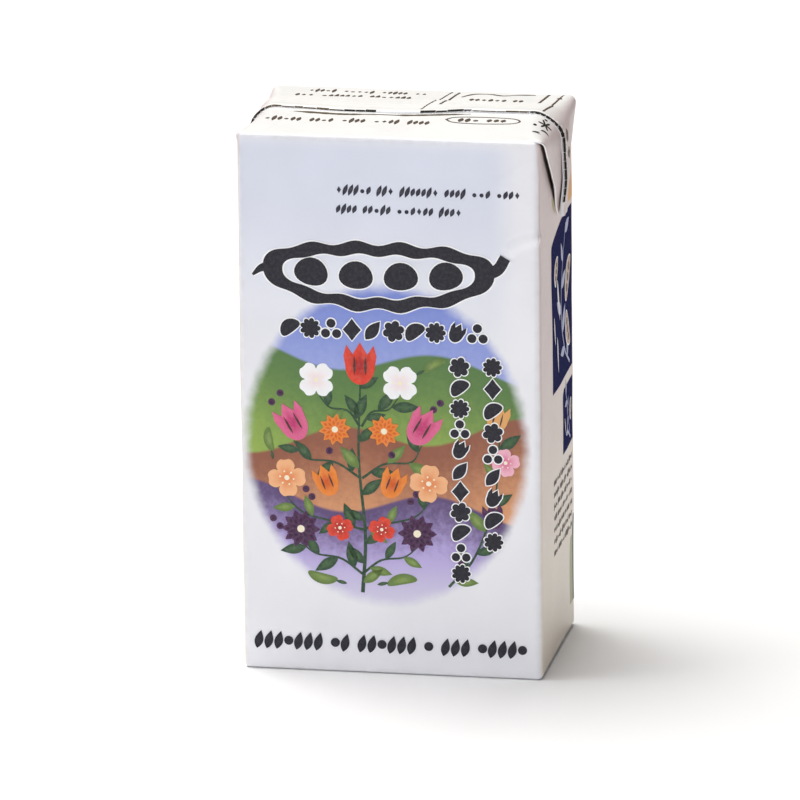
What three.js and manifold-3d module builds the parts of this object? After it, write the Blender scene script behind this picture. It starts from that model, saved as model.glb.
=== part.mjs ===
// A sealed brick carton of tofu: laminated board folded round one block, standing on its base.
// Millimetres. +Z is up, the printed front faces -Y, and the origin is the centre of the base.
import * as THREE from 'three';
import { mergeVertices } from 'three/addons/utils/BufferGeometryUtils.js';
import Module from 'manifold-3d';

const wasm = await Module();
wasm.setup();

// ---- Driving dimensions -------------------------------------------------------------------
const WIDTH = 62.5;             // front panel, fold to fold, along X
const DEPTH = 41;               // side panel, fold to fold, along Y
const HEIGHT = 114;             // base to the top folds, along Z
const FOLD_RADIUS = 2.3;        // outside radius of every folded edge

const PANEL_SWELL = 0.7;        // how far the full front and back panels stand out at their middle
const SIDE_SWELL = 0.35;        // the same for the narrower sides
const TOP_RISE = 0.7;           // the top slopes up this much from its edges to the seal

const EAR_THICKNESS = 0.85;     // two layers of board, folded down flat on the side
const EAR_REACH = DEPTH / 2;    // an ear is a right-angled triangle, so its tip is half the depth down
const EAR_TIP = 0.7;            // half the width of the blunt tip
const EAR_CORNER = 3;           // an ear is pressed thin within this distance of the carton's corner
const EAR_CORNER_SHARE = 0.3;   // the share of its thickness left at that corner
const EAR_TIP_SHARE = 0.75;     // the share left at the glued tip
const SHOULDER_REACH = 4;       // the ear's layers start this far in from the side, on the top

const FIN_HEIGHT = 7.6;         // the crimped seal, laid flat towards the back
const FIN_THICKNESS = 0.65;
const FIN_ROLL = 0.6;           // the fold at the seal's foot stands this far in front of the middle

const BASE_RIM = 3.4;           // flat border that the pack stands on, inside the folded edge
const BASE_RAMP = 3;            // the base panel goes in over this width
const BASE_RECESS = 1.0;        // and is pressed in this far
const BASE_EAR_LIFT = 0.12;     // the folded-in ears stay just clear of the ground
const BASE_FIN_LIFT = 0.35;

const SEAM_EDGE = -27;          // x of the cut edge of the overlap down the back
const SEAM_WIDTH = 8;           // width of the overlap
const SEAM_RAMP = 3;            // past it, the upper layer comes down to the panel
const SEAM_THICKNESS = 0.35;

const BURIED = 0.7;             // how deep a lying layer reaches into the body it is fused with
const SUNK = 0.15;              // where a layer runs out, its outer face is this far inside

// ---- Steps of the facets ------------------------------------------------------------------
const BEND_STEPS = 2;           // per half of a folded edge
const PANEL_STEPS = { x: 10, y: 6, z: 16 };
const DROP_STEPS = 6;           // down an ear
const EAR_STEPS = 8;            // across an ear
const FIN_STEPS = 12;           // along the seal, between the shoulders

const halfWidth = WIDTH / 2;
const halfDepth = DEPTH / 2;

const board = new THREE.MeshStandardMaterial({ color: 0xe4e3e6, roughness: 0.45, metalness: 0 });

// 0 up to low, 1 from high on, and a soft step between them.
function rising(low, high, value) {
  return THREE.MathUtils.smoothstep(value, low, high);
}

// Numbers from first to last, in equal steps.
function spaced(first, last, steps) {
  return Array.from({ length: steps + 1 }, (_, i) => first + ((last - first) * i) / steps);
}

// The block inside pushes every panel out, most at its middle and a little below half height.
// The top slopes up to the seal. Folds, base and corners keep their place.
function swell(point) {
  const across = Math.max(0, 1 - (point.x / halfWidth) ** 2);
  const along = Math.max(0, 1 - (point.y / halfDepth) ** 2);
  const heightShare = THREE.MathUtils.clamp(point.z / HEIGHT, 0, 1);
  const upright = Math.sin(Math.PI * heightShare ** 0.85);
  const roof = 1 - Math.min(1, Math.abs(point.y) / halfDepth) ** 1.5;
  const nearTop = rising(HEIGHT - 2 * FOLD_RADIUS, HEIGHT - FOLD_RADIUS / 2, point.z);
  point.y += (point.y / halfDepth) * PANEL_SWELL * across * upright;
  point.x += (point.x / halfWidth) * SIDE_SWELL * along * upright;
  point.z += TOP_RISE * roof * rising(0, 0.3, across) * nearTop;
  return point;
}

// ---- The sleeve ---------------------------------------------------------------------------
// Grid lines across a panel: at even angles round the folded edges, and even in the flat, which
// may have a border of its own.
function foldLines(length, flatSteps, border) {
  const flatEnd = length / 2 - FOLD_RADIUS;
  const bend = (share) => flatEnd + FOLD_RADIUS * Math.tan((share * Math.PI) / 4);
  const bends = spaced(1, 0, BEND_STEPS).map(bend);
  const outside = border > 0 ? bends : bends.slice(0, -1);
  const flat = spaced(-(flatEnd - border), flatEnd - border, flatSteps);
  return [...outside.map((line) => -line), ...flat, ...outside.reverse()];
}

// The filled sleeve: a box whose edges are rounded folds and whose base is pressed in.
function sleeve() {
  const lines = {
    x: foldLines(WIDTH, PANEL_STEPS.x, BASE_RIM),
    y: foldLines(DEPTH, PANEL_STEPS.y, BASE_RIM),
    z: foldLines(HEIGHT, PANEL_STEPS.z, 0),
  };
  const steps = { x: lines.x.length - 1, y: lines.y.length - 1, z: lines.z.length - 1 };
  const flat = new THREE.Vector3(halfWidth, halfDepth, HEIGHT / 2).subScalar(FOLD_RADIUS);
  const geometry = new THREE.BoxGeometry(1, 1, 1, steps.x, steps.y, steps.z);
  const place = geometry.getAttribute('position');
  const point = new THREE.Vector3();
  for (let i = 0; i < place.count; i++) {
    point.fromBufferAttribute(place, i);
    for (const axis of ['x', 'y', 'z']) {
      point[axis] = lines[axis][Math.round((point[axis] + 0.5) * steps[axis])];
    }
    const onFlat = point.clone().clamp(flat.clone().negate(), flat);
    point.sub(onFlat).setLength(FOLD_RADIUS).add(onFlat);
    point.z += HEIGHT / 2;
    if (point.z < FOLD_RADIUS / 4) {
      const inside = Math.min(flat.x - Math.abs(point.x), flat.y - Math.abs(point.y));
      point.z += BASE_RECESS * rising(BASE_RIM, BASE_RIM + BASE_RAMP, inside);
    }
    swell(point);
    place.setXYZ(i, point.x, point.y, point.z);
  }
  return geometry;
}

// ---- Lying layers of board ----------------------------------------------------------------
// A closed layer between an outer and an inner sheet. Each sheet gives the point for one entry
// of alongs and one of acrosses.
function layer(outer, inner, alongs, acrosses) {
  const places = [];
  for (const sheet of [outer, inner]) {
    for (const along of alongs) {
      for (const across of acrosses) places.push(...swell(sheet(along, across)).toArray());
    }
  }
  const row = acrosses.length;
  const rows = alongs.length;
  const other = rows * row;
  const faces = [];
  const quad = (a, b, c, d) => faces.push(a, b, c, a, c, d);
  for (let i = 0; i < rows - 1; i++) {
    for (let j = 0; j < row - 1; j++) {
      const a = i * row + j;
      quad(a, a + row, a + row + 1, a + 1);
      quad(other + a, other + a + 1, other + a + row + 1, other + a + row);
    }
  }
  const rim = [];
  for (let j = 0; j < row - 1; j++) rim.push(j);
  for (let i = 0; i < rows - 1; i++) rim.push(i * row + row - 1);
  for (let j = row - 1; j > 0; j--) rim.push((rows - 1) * row + j);
  for (let i = rows - 1; i > 0; i--) rim.push(i * row);
  rim.forEach((a, k) => {
    const b = rim[(k + 1) % rim.length];
    quad(a, b, b + other, a + other);
  });
  const geometry = new THREE.BufferGeometry();
  geometry.setAttribute('position', new THREE.Float32BufferAttribute(places, 3));
  geometry.setIndex(faces);
  return facingOut(geometry);
}

// Turns the faces round if they point in, as a mirrored layer's do.
function facingOut(geometry) {
  const place = geometry.getAttribute('position');
  const index = geometry.getIndex();
  const [a, b, c] = [new THREE.Vector3(), new THREE.Vector3(), new THREE.Vector3()];
  let volume = 0;
  for (let i = 0; i < index.count; i += 3) {
    a.fromBufferAttribute(place, index.getX(i));
    b.fromBufferAttribute(place, index.getX(i + 1));
    c.fromBufferAttribute(place, index.getX(i + 2));
    volume += a.dot(b.cross(c));
  }
  if (volume < 0) index.array.reverse();
  return geometry;
}

// ---- The line over a shoulder: along the top, round the fold and down the side --------------
const bendLength = (Math.PI / 2) * FOLD_RADIUS;
const lineEnd = bendLength + EAR_REACH - FOLD_RADIUS;

// The point at that run past the start of the bend (negative on the top), and its way out.
function shoulderLine(run) {
  const angle = THREE.MathUtils.clamp(run, 0, bendLength) / FOLD_RADIUS;
  return {
    x: halfWidth - FOLD_RADIUS * (1 - Math.sin(angle)) + Math.min(0, run),
    z: HEIGHT - FOLD_RADIUS * (1 - Math.cos(angle)) - Math.max(0, run - bendLength),
    outX: Math.sin(angle),
    outZ: Math.cos(angle),
  };
}

// The sleeve's corners are round, so a layer that reaches them bends in with them.
function cornerInset(y) {
  const over = THREE.MathUtils.clamp(Math.abs(y) - (halfDepth - FOLD_RADIUS), 0, FOLD_RADIUS);
  return FOLD_RADIUS - Math.sqrt(FOLD_RADIUS ** 2 - over ** 2);
}

// A point over the shoulder at that run and y, raised by lift. side is 1 on the right, -1 left.
function overShoulder(side, run, y, lift) {
  const line = shoulderLine(run);
  const raise = lift - cornerInset(y);
  return new THREE.Vector3(side * (line.x + line.outX * raise), y, line.z + line.outZ * raise);
}

// How far an ear stands off the body it lies on.
function earLift(run, y) {
  const corner = EAR_CORNER_SHARE + (1 - EAR_CORNER_SHARE) * rising(0, EAR_CORNER, halfDepth - Math.abs(y));
  const tip = 1 - (1 - EAR_TIP_SHARE) * rising(bendLength, lineEnd, run);
  const start = SUNK * (1 - rising(-SHOULDER_REACH, 0, run));
  return EAR_THICKNESS * corner * tip * rising(-SHOULDER_REACH, bendLength, run) - start;
}

// A top ear: a triangle of doubled board that hangs over the shoulder, its tip half the depth down.
function topEar(side) {
  const widest = halfDepth - FOLD_RADIUS / 2;
  const y = (run, share) => share * Math.min(widest, halfDepth - (HEIGHT - shoulderLine(run).z));
  const outer = (run, share) => overShoulder(side, run, y(run, share), earLift(run, y(run, share)));
  const inner = (run, share) => overShoulder(side, run, y(run, share), -BURIED);
  const runs = [
    ...spaced(-SHOULDER_REACH, 0, 2),
    ...spaced(0, bendLength, 2 * BEND_STEPS).slice(1),
    ...spaced(bendLength, lineEnd - EAR_TIP, DROP_STEPS).slice(1),
  ];
  return layer(outer, inner, runs, spaced(-1, 1, EAR_STEPS));
}

// The crimped seal: a strip from ear tip to ear tip over the top, laid flat towards the back.
function topFin() {
  const middle = halfWidth - FOLD_RADIUS;
  const section = [
    { y: -FIN_ROLL, lift: FIN_THICKNESS * 0.15 },
    { y: -FIN_ROLL * 0.6, lift: FIN_THICKNESS * 0.8 },
    { y: FIN_ROLL * 0.4, lift: FIN_THICKNESS * 1.25 },
    { y: FIN_ROLL * 3, lift: FIN_THICKNESS },
    { y: FIN_HEIGHT, lift: FIN_THICKNESS },
  ];
  const runAt = (along) => Math.abs(along) - middle;
  const raised = (along, y, lift) => overShoulder(Math.sign(along) || 1, runAt(along), y, lift);
  const onEar = (along, y) => Math.max(0, earLift(runAt(along), y));
  const outer = (along, { y, lift }) => raised(along, y, lift + onEar(along, y));
  const inner = (along, { y }) => raised(along, y, -BURIED);
  const right = [
    ...spaced(0, middle - SHOULDER_REACH, FIN_STEPS / 2),
    ...spaced(middle - SHOULDER_REACH, middle, 2).slice(1),
    ...spaced(middle, middle + bendLength, 2 * BEND_STEPS).slice(1),
    ...spaced(middle + bendLength, middle + lineEnd, DROP_STEPS / 2).slice(1),
  ];
  const left = right.slice(1).reverse().map((along) => -along);
  return layer(outer, inner, [...left, ...right], section);
}

// A base ear: the same triangle as a top ear, folded in under the base.
function baseEar(side) {
  const start = halfWidth - FOLD_RADIUS;
  const y = (inward, share) => share * Math.max(EAR_TIP, halfDepth - FOLD_RADIUS - inward);
  const at = (inward, share, z) => new THREE.Vector3(side * (start - inward), y(inward, share), z);
  const outer = (inward, share) => at(inward, share, BASE_EAR_LIFT);
  const inner = (inward, share) => at(inward, share, BASE_RECESS + BURIED);
  return layer(outer, inner, spaced(0, EAR_REACH - FOLD_RADIUS, 4), spaced(-1, 1, 4));
}

// The base seal, laid flat, which runs in under the base ears and shows between their tips.
function baseFin() {
  const reach = halfWidth - EAR_REACH + FIN_HEIGHT + FOLD_RADIUS;
  const outer = (x, y) => new THREE.Vector3(x, y, BASE_FIN_LIFT);
  const inner = (x, y) => new THREE.Vector3(x, y, BASE_RECESS + BURIED);
  return layer(outer, inner, spaced(-reach, reach, 4), spaced(0, FIN_HEIGHT, 2));
}

// The overlap that closes the sleeve: a cut edge on one side, which runs out on the other.
function backSeam() {
  const foot = FOLD_RADIUS * 1.2;
  const rampStart = SEAM_EDGE + SEAM_WIDTH;
  const rampEnd = rampStart + SEAM_RAMP;
  const fade = (x, z) => {
    const ends = rising(foot, foot + FOLD_RADIUS, Math.min(z, HEIGHT - z));
    return ends * (1 - rising(rampStart, rampEnd, x));
  };
  const raised = (x, z) => halfDepth - SUNK + (SUNK + SEAM_THICKNESS) * fade(x, z);
  const outer = (x, z) => new THREE.Vector3(x, raised(x, z), z);
  const inner = (x, z) => new THREE.Vector3(x, halfDepth - BURIED, z);
  const full = spaced(foot + FOLD_RADIUS, HEIGHT - foot - FOLD_RADIUS, PANEL_STEPS.z);
  return layer(outer, inner, [SEAM_EDGE, ...spaced(rampStart, rampEnd, 3)], [foot, ...full, HEIGHT - foot]);
}

// ---- Fusing and the model -----------------------------------------------------------------
function solid(geometry) {
  const bare = geometry.clone();
  bare.deleteAttribute('normal');
  bare.deleteAttribute('uv');
  const merged = mergeVertices(bare);
  return new wasm.Manifold(new wasm.Mesh({
    numProp: 3,
    vertProperties: new Float32Array(merged.getAttribute('position').array),
    triVerts: new Uint32Array(merged.getIndex().array),
  }));
}

function fused(geometries) {
  const [first, ...others] = geometries.map(solid);
  const mesh = others.reduce((whole, piece) => whole.add(piece), first).getMesh();
  const geometry = new THREE.BufferGeometry();
  geometry.setAttribute('position', new THREE.Float32BufferAttribute(mesh.vertProperties, 3));
  geometry.setIndex(new THREE.Uint32BufferAttribute(mesh.triVerts, 1));
  geometry.computeVertexNormals();
  return geometry;
}

const layers = [topEar(1), topEar(-1), topFin(), baseEar(1), baseEar(-1), baseFin(), backSeam()];
const carton = new THREE.Mesh(fused([sleeve(), ...layers]), board);
carton.name = 'carton';

const group = new THREE.Group();
group.add(carton);

export default group;
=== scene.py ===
# %% [markdown]
# # A shut brick carton
# A brick carton starts as one flat sheet of plastic-coated board. The filling machine wraps it
# into a tube, seals it along the back, fills it, pinches it shut above and below, and presses
# the tube square. That leaves two triangular ears at each end, which are folded down and glued.
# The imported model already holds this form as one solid. Here the same form is made again from
# finer sheets, one piece for each fold, and then it gets its coating and its print.

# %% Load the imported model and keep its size
import math
import random

import bmesh
import bpy
import numpy as np
from mathutils import Matrix, Vector

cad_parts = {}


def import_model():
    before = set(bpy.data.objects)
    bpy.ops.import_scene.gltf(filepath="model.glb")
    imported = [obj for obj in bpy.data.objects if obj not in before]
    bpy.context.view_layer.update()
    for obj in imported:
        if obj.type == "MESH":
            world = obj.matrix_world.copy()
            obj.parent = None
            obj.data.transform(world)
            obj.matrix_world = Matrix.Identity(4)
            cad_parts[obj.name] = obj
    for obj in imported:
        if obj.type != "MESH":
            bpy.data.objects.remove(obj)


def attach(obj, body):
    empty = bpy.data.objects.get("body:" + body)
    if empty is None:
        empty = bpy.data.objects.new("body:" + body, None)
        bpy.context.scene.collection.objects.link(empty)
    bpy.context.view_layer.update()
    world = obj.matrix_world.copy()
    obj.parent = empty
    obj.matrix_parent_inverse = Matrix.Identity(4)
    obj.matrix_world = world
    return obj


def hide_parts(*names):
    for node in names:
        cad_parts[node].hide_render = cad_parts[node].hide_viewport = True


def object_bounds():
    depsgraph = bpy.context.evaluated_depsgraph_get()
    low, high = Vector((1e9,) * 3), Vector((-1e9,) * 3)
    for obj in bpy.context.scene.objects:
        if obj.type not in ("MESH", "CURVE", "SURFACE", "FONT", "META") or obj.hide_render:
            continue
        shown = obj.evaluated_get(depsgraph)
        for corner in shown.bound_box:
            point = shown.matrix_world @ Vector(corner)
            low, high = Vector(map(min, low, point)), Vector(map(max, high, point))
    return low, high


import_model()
cad_low, cad_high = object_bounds()
MM = 0.001
cad_size = (cad_high - cad_low) / MM
print("packed model, mm:", [round(length, 2) for length in cad_size])

# %% [markdown]
# ## The camera
# Product pictures of boxes are often taken from far away with a long lens, because the upright
# edges then stay parallel. A short lens from nearby would show the top larger and pull the
# uprights together. The camera here stands two metres off, a little to the right and above,
# and a slight roll sets the front's lower edge as it stands.

# %% Place the camera
CAMERA_DISTANCE = 2000
CAMERA_AZIMUTH, CAMERA_ELEVATION, CAMERA_ROLL = 10.5, 15.62, -0.62
LOOK_AZIMUTH, LOOK_ELEVATION = 10.55, 15.73
CAMERA_LENS = 435.9
CAMERA_TARGET = Vector((0, 0, 57))


def direction(azimuth, elevation):
    """The unit vector that points from the carton to a viewer at these angles, in degrees."""
    turn, lift = math.radians(azimuth), math.radians(elevation)
    return Vector((math.sin(turn) * math.cos(lift), -math.cos(turn) * math.cos(lift), math.sin(lift)))


camera = bpy.data.objects.new("camera", bpy.data.cameras.new("camera"))
bpy.context.scene.collection.objects.link(camera)
bpy.context.scene.camera = camera
camera.data.lens = CAMERA_LENS
camera.data.clip_end = 20
backwards = direction(LOOK_AZIMUTH, LOOK_ELEVATION)
level_right = Vector((0, 0, 1)).cross(backwards).normalized()
roll = Matrix.Rotation(math.radians(CAMERA_ROLL), 3, backwards)
right = roll @ level_right
upward = roll @ backwards.cross(level_right)
camera.matrix_world = Matrix((right, upward, backwards)).transposed().to_4x4()
camera.location = (CAMERA_TARGET + CAMERA_DISTANCE * direction(CAMERA_AZIMUTH, CAMERA_ELEVATION)) * MM
print("camera at, m:", [round(value, 3) for value in camera.location])

# %% [markdown]
# ## Driving sizes
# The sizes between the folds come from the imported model: its box, less what the ears, the seal
# and the swelling of the full panels add to it. Everything else is a board-maker's size in
# millimetres: how tightly the board bends, how thick two pressed layers are, how wide the seal is.

# %% Sizes between the folds
EARS_AND_SWELL = 3.365
PANEL_SWELLS = 1.5
SEAL_AND_ROOF = 1.59
WIDTH = cad_size.x - EARS_AND_SWELL
DEPTH = cad_size.y - PANEL_SWELLS
HEIGHT = cad_size.z - SEAL_AND_ROOF
HALF_WIDTH, HALF_DEPTH = WIDTH / 2, DEPTH / 2
FOLD_RADIUS, CRISP_RADIUS, SHOULDER_RADIUS, FOOT_RADIUS = 1.4, 1.0, 4.4, 1.5
PANEL_SWELL, SIDE_SWELL, TOP_RISE = 0.7, 0.35, 0.7
print("between the folds, mm:", round(WIDTH, 2), round(DEPTH, 2), round(HEIGHT, 2))

# %% [markdown]
# ## How a full carton bulges
# The filling presses the big panels out by less than a millimetre, and hands and cases leave
# soft dents. One function for each, used by every piece, keeps all the layers together: the
# sleeve, the ears and the ink move by the same amount, so nothing cuts through anything.
# Sums of slow sine waves are enough for the dents, and they give the same result every time.


# %% Swelling, dents and creases
def rising(low, high, value):
    """0 below low, 1 above high, and a smooth step between them."""
    share = np.clip((value - low) / (high - low), 0, 1)
    return share * share * (3 - 2 * share)


def swell(points):
    """Moves points of the square box out to where the full carton's panels are."""
    x, y, z = np.moveaxis(points, -1, 0)
    across = np.clip(1 - (x / HALF_WIDTH) ** 2, 0, None)
    along = np.clip(1 - (y / HALF_DEPTH) ** 2, 0, None)
    upright = np.sin(math.pi * np.clip(z / HEIGHT, 0, 1) ** 0.85)
    roof = 1 - np.minimum(1, abs(y) / HALF_DEPTH) ** 1.5
    near_top = rising(HEIGHT - 4.6, HEIGHT - 1.2, z)
    return np.stack([
        x + x / HALF_WIDTH * SIDE_SWELL * along * upright,
        y + y / HALF_DEPTH * PANEL_SWELL * across * upright,
        z + TOP_RISE * roof * rising(0, 0.3, across) * near_top,
    ], axis=-1)


DENT_WAVES = ((0.035, 0.21, 0.10, 0.13, 1.0), (0.030, -0.16, 0.27, 0.19, 2.3),
              (0.022, 0.41, -0.33, 0.24, 0.4), (0.014, 0.55, 0.62, -0.47, 4.1))
FRONT_CREASES = (((25.4, 91.4), (27.4, 93.0), -0.75), ((27.4, 93.0), (30.6, 94.0), -0.75),
                 ((23.6, 106.6), (29.4, 110.6), 0.32), ((-29.0, 97.0), (-25.0, 95.4), 0.2))
CREASE_WIDTH = 1.0


def crease_depth(across, up, creases):
    """How deep the creases of one panel are here: straight furrows, or ridges where the drop is negative."""
    depth = 0.0 * across
    for begin, end, drop in creases:
        begin, way = np.array(begin), np.array(end) - np.array(begin)
        along = np.clip(((across - begin[0]) * way[0] + (up - begin[1]) * way[1]) / (way @ way), 0, 1)
        gap = np.hypot(across - begin[0] - along * way[0], up - begin[1] - along * way[1])
        crease = drop * np.exp(-(gap / CREASE_WIDTH) ** 2)
        depth = np.where(abs(crease) > abs(depth), crease, depth)
    return depth


def dents(x, y, z):
    """How far handling has moved the board in or out; the standing base stays flat."""
    depth = sum(size * np.sin(a * x + b * y + c * z + start) for size, a, b, c, start in DENT_WAVES)
    depth = depth - np.where(y < 1 - HALF_DEPTH, crease_depth(x, z, FRONT_CREASES), 0)
    return depth * rising(0, 14, z)


# %% [markdown]
# ## From a square box to folded board
# Board doesn't fold to a knife edge. The upright folds roll over about a millimetre and a half,
# because the filling pushes on both panels. The folds round the top and the base are creased by
# the machine and are tighter, except over the middle of each shoulder, by far the roundest.
# So the rounding is done in two steps: first the upright fold in plan, then the fold round the top
# or base in profile. The same function places ink, with a little lift.

# %% Round the folds
BASE_RIM, BASE_RAMP, BASE_RECESS = 3.4, 3.0, 1.0


def crease_radius(x, y, middle=SHOULDER_RADIUS):
    """Radius of the fold round the top or base: tight, but rounder at the middle of a side."""
    shoulder = rising(0.6, 0.8, abs(x) / HALF_WIDTH) * np.clip(1 - (y / HALF_DEPTH) ** 2, 0, 1)
    return CRISP_RADIUS + (middle - CRISP_RADIUS) * shoulder


def on_board(points, lift=0.0):
    """A place on the sharp box, rounded over the folds, dented and swollen, then lifted off the board."""
    x, y, z = np.moveaxis(points, -1, 0)
    inside = np.minimum(HALF_WIDTH - abs(x), HALF_DEPTH - abs(y))
    limit = np.array([HALF_WIDTH, HALF_DEPTH]) - FOLD_RADIUS
    offset = points[..., :2] - np.clip(points[..., :2], -limit, limit)
    ring = abs(offset).max(axis=-1)
    shoulder_side = np.stack([np.sign(x), 0 * y], axis=-1)
    outward = offset / np.maximum(np.linalg.norm(offset, axis=-1), 1e-9)[..., None]
    outward = np.where((ring > 0)[..., None], outward, shoulder_side)
    flat = points[..., :2] - offset + np.where(ring > 0, 0, inside - FOLD_RADIUS)[..., None] * shoulder_side
    radius = np.where(z > HEIGHT / 2, crease_radius(x, y), crease_radius(x, y, FOOT_RADIUS))
    inward = np.where(ring > 0, FOLD_RADIUS - ring, inside)
    below = HEIGHT / 2 - abs(z - HEIGHT / 2)
    profile = np.stack([np.maximum(radius - inward, 0), np.maximum(radius - below, 0)])
    profile /= np.linalg.norm(profile, axis=0)
    reach = radius + lift + dents(x, y, z)
    inward = np.maximum(inward, radius) - profile[0] * reach
    below = np.maximum(below, radius) - profile[1] * reach
    plan = flat + outward * (FOLD_RADIUS - inward)[..., None]
    recess = np.where(z < radius / 4, BASE_RECESS * rising(BASE_RIM, BASE_RIM + BASE_RAMP, inside), 0)
    height = np.where(z > HEIGHT / 2, HEIGHT - below, below + recess)
    return swell(np.concatenate([plan, height[..., None]], axis=-1))


def grid_of(*axes):
    """Every combination of the given coordinates, as one array of points."""
    return np.stack(np.meshgrid(*axes, indexing="ij"), axis=-1).astype(float)


# %% [markdown]
# ## Turning points into pieces
# Blender's mesh wants a list of points and a list of faces. One helper takes both in millimetres,
# scales them to metres, turns all faces outwards and marks only the sharp edges, so that folds
# shade softly and cut edges stay crisp. Each piece then rides on the carton's one body and gets
# its material.

# %% A helper for every piece
SHARP_EDGE = math.radians(50)
made_faces = []


def make_piece(name, points, faces, finish, replaces_carton=False, weld=True):
    """Builds one mesh piece from points in mm, attaches it to the carton's body, and hides the imported
    carton if it replaces it.
    """
    mesh = bpy.data.meshes.new(name)
    mesh.from_pydata((np.asarray(points) * MM).tolist(), [], [tuple(map(int, face)) for face in faces])
    shape = bmesh.new()
    shape.from_mesh(mesh)
    if weld:
        bmesh.ops.remove_doubles(shape, verts=shape.verts, dist=1e-4 * MM)
    bmesh.ops.recalc_face_normals(shape, faces=shape.faces)
    open_edges = sum(not edge.is_manifold for edge in shape.edges)
    shape.to_mesh(mesh)
    shape.free()
    mesh.shade_smooth()
    mesh.set_sharp_from_angle(angle=SHARP_EDGE)
    mesh.materials.append(finish)
    piece = bpy.data.objects.new(name, mesh)
    bpy.context.scene.collection.objects.link(piece)
    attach(piece, "root")
    if replaces_carton:
        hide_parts("carton")
    made_faces.append(len(mesh.polygons))
    print(f"{name}: {len(mesh.polygons)} faces, {open_edges} open edges")
    return piece


def quads(rows, columns, first=0):
    """The faces between the points of a grid that is numbered row by row."""
    index = first + np.arange(rows * columns).reshape(rows, columns)
    corners = index[:-1, :-1], index[1:, :-1], index[1:, 1:], index[:-1, 1:]
    return np.stack([corner.ravel() for corner in corners], axis=-1)


# %% [markdown]
# ## A recipe book for finishes
# Blender's materials are graphs of nodes. Written out one by one they fill pages, so a small
# class adds a node, wires its inputs and hands back its output. Sizes of grain are given in
# millimetres, because a noise that is right on a wall is wrong on a small carton. Values that
# are the same everywhere are set straight on the shader.


# %% A small class for node graphs
def display(red, green, blue):
    """A colour as a screen shows it, 0 to 255, turned into the light that Blender works with."""
    light = [((c / 255 + 0.055) / 1.055) ** 2.4 if c > 10 else c / 255 / 12.92 for c in (red, green, blue)]
    return (*light, 1.0)


class Finish:
    """A material whose nodes are added one call at a time."""

    def __init__(self, name, **shader_values):
        self.material = bpy.data.materials.new(name)
        self.material.use_nodes = True
        self.tree = self.material.node_tree
        self.shader = self.tree.nodes["Principled BSDF"]
        for socket, value in shader_values.items():
            self.shader.inputs[socket.replace("_", " ")].default_value = value
        self.place = self.add("ShaderNodeTexCoord", "Object")

    def add(self, kind, output, settings=(), **inputs):
        """Adds a node, sets or wires the inputs named here, and returns one of its outputs."""
        node = self.tree.nodes.new(kind)
        for setting, value in dict(settings).items():
            setattr(node, setting, value)
        for socket, value in inputs.items():
            key = int(socket[1:]) if socket[1:].isdigit() else socket.replace("_", " ")
            self.feed(node.inputs[key], value)
        return node.outputs[output]

    def feed(self, socket, value):
        """Wires an output into a socket, or sets a plain value there."""
        if isinstance(value, bpy.types.NodeSocket):
            self.tree.links.new(value, socket)
        else:
            socket.default_value = value

    def maths(self, operation, first, second=0.0):
        return self.add("ShaderNodeMath", 0, {"operation": operation}, i0=first, i1=second)

    def product(self, first, *others):
        for other in others:
            first = self.maths("MULTIPLY", first, other)
        return first

    def fade(self, value, start, end, low=0.0, high=1.0):
        """A smooth change from low to high while value goes from start to end."""
        settings = {"interpolation_type": "SMOOTHSTEP"}
        return self.add("ShaderNodeMapRange", 0, settings, Value=value, From_Min=start, From_Max=end,
                        To_Min=low, To_Max=high)

    def mix(self, share, first, second, blend="MIX"):
        settings = {"data_type": "RGBA", "blend_type": blend}
        return self.add("ShaderNodeMix", 2, settings, i0=share, i6=first, i7=second)

    def grain(self, size, detail=2.0, roughness=0.5):
        """Soft noise whose lumps are this many millimetres across."""
        return self.add("ShaderNodeTexNoise", "Fac", Vector=self.place, Scale=1 / (size * MM),
                        Detail=detail, Roughness=roughness)

    def bump(self, height, depth, strength=1.0, under=None):
        """Turns a height from 0 to 1 into small relief, depth millimetres deep."""
        inputs = {"Height": height, "Distance": depth * MM, "Strength": strength}
        if under is not None:
            inputs["Normal"] = under
        return self.add("ShaderNodeBump", 0, **inputs)


print("finish helpers ready")
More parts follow.
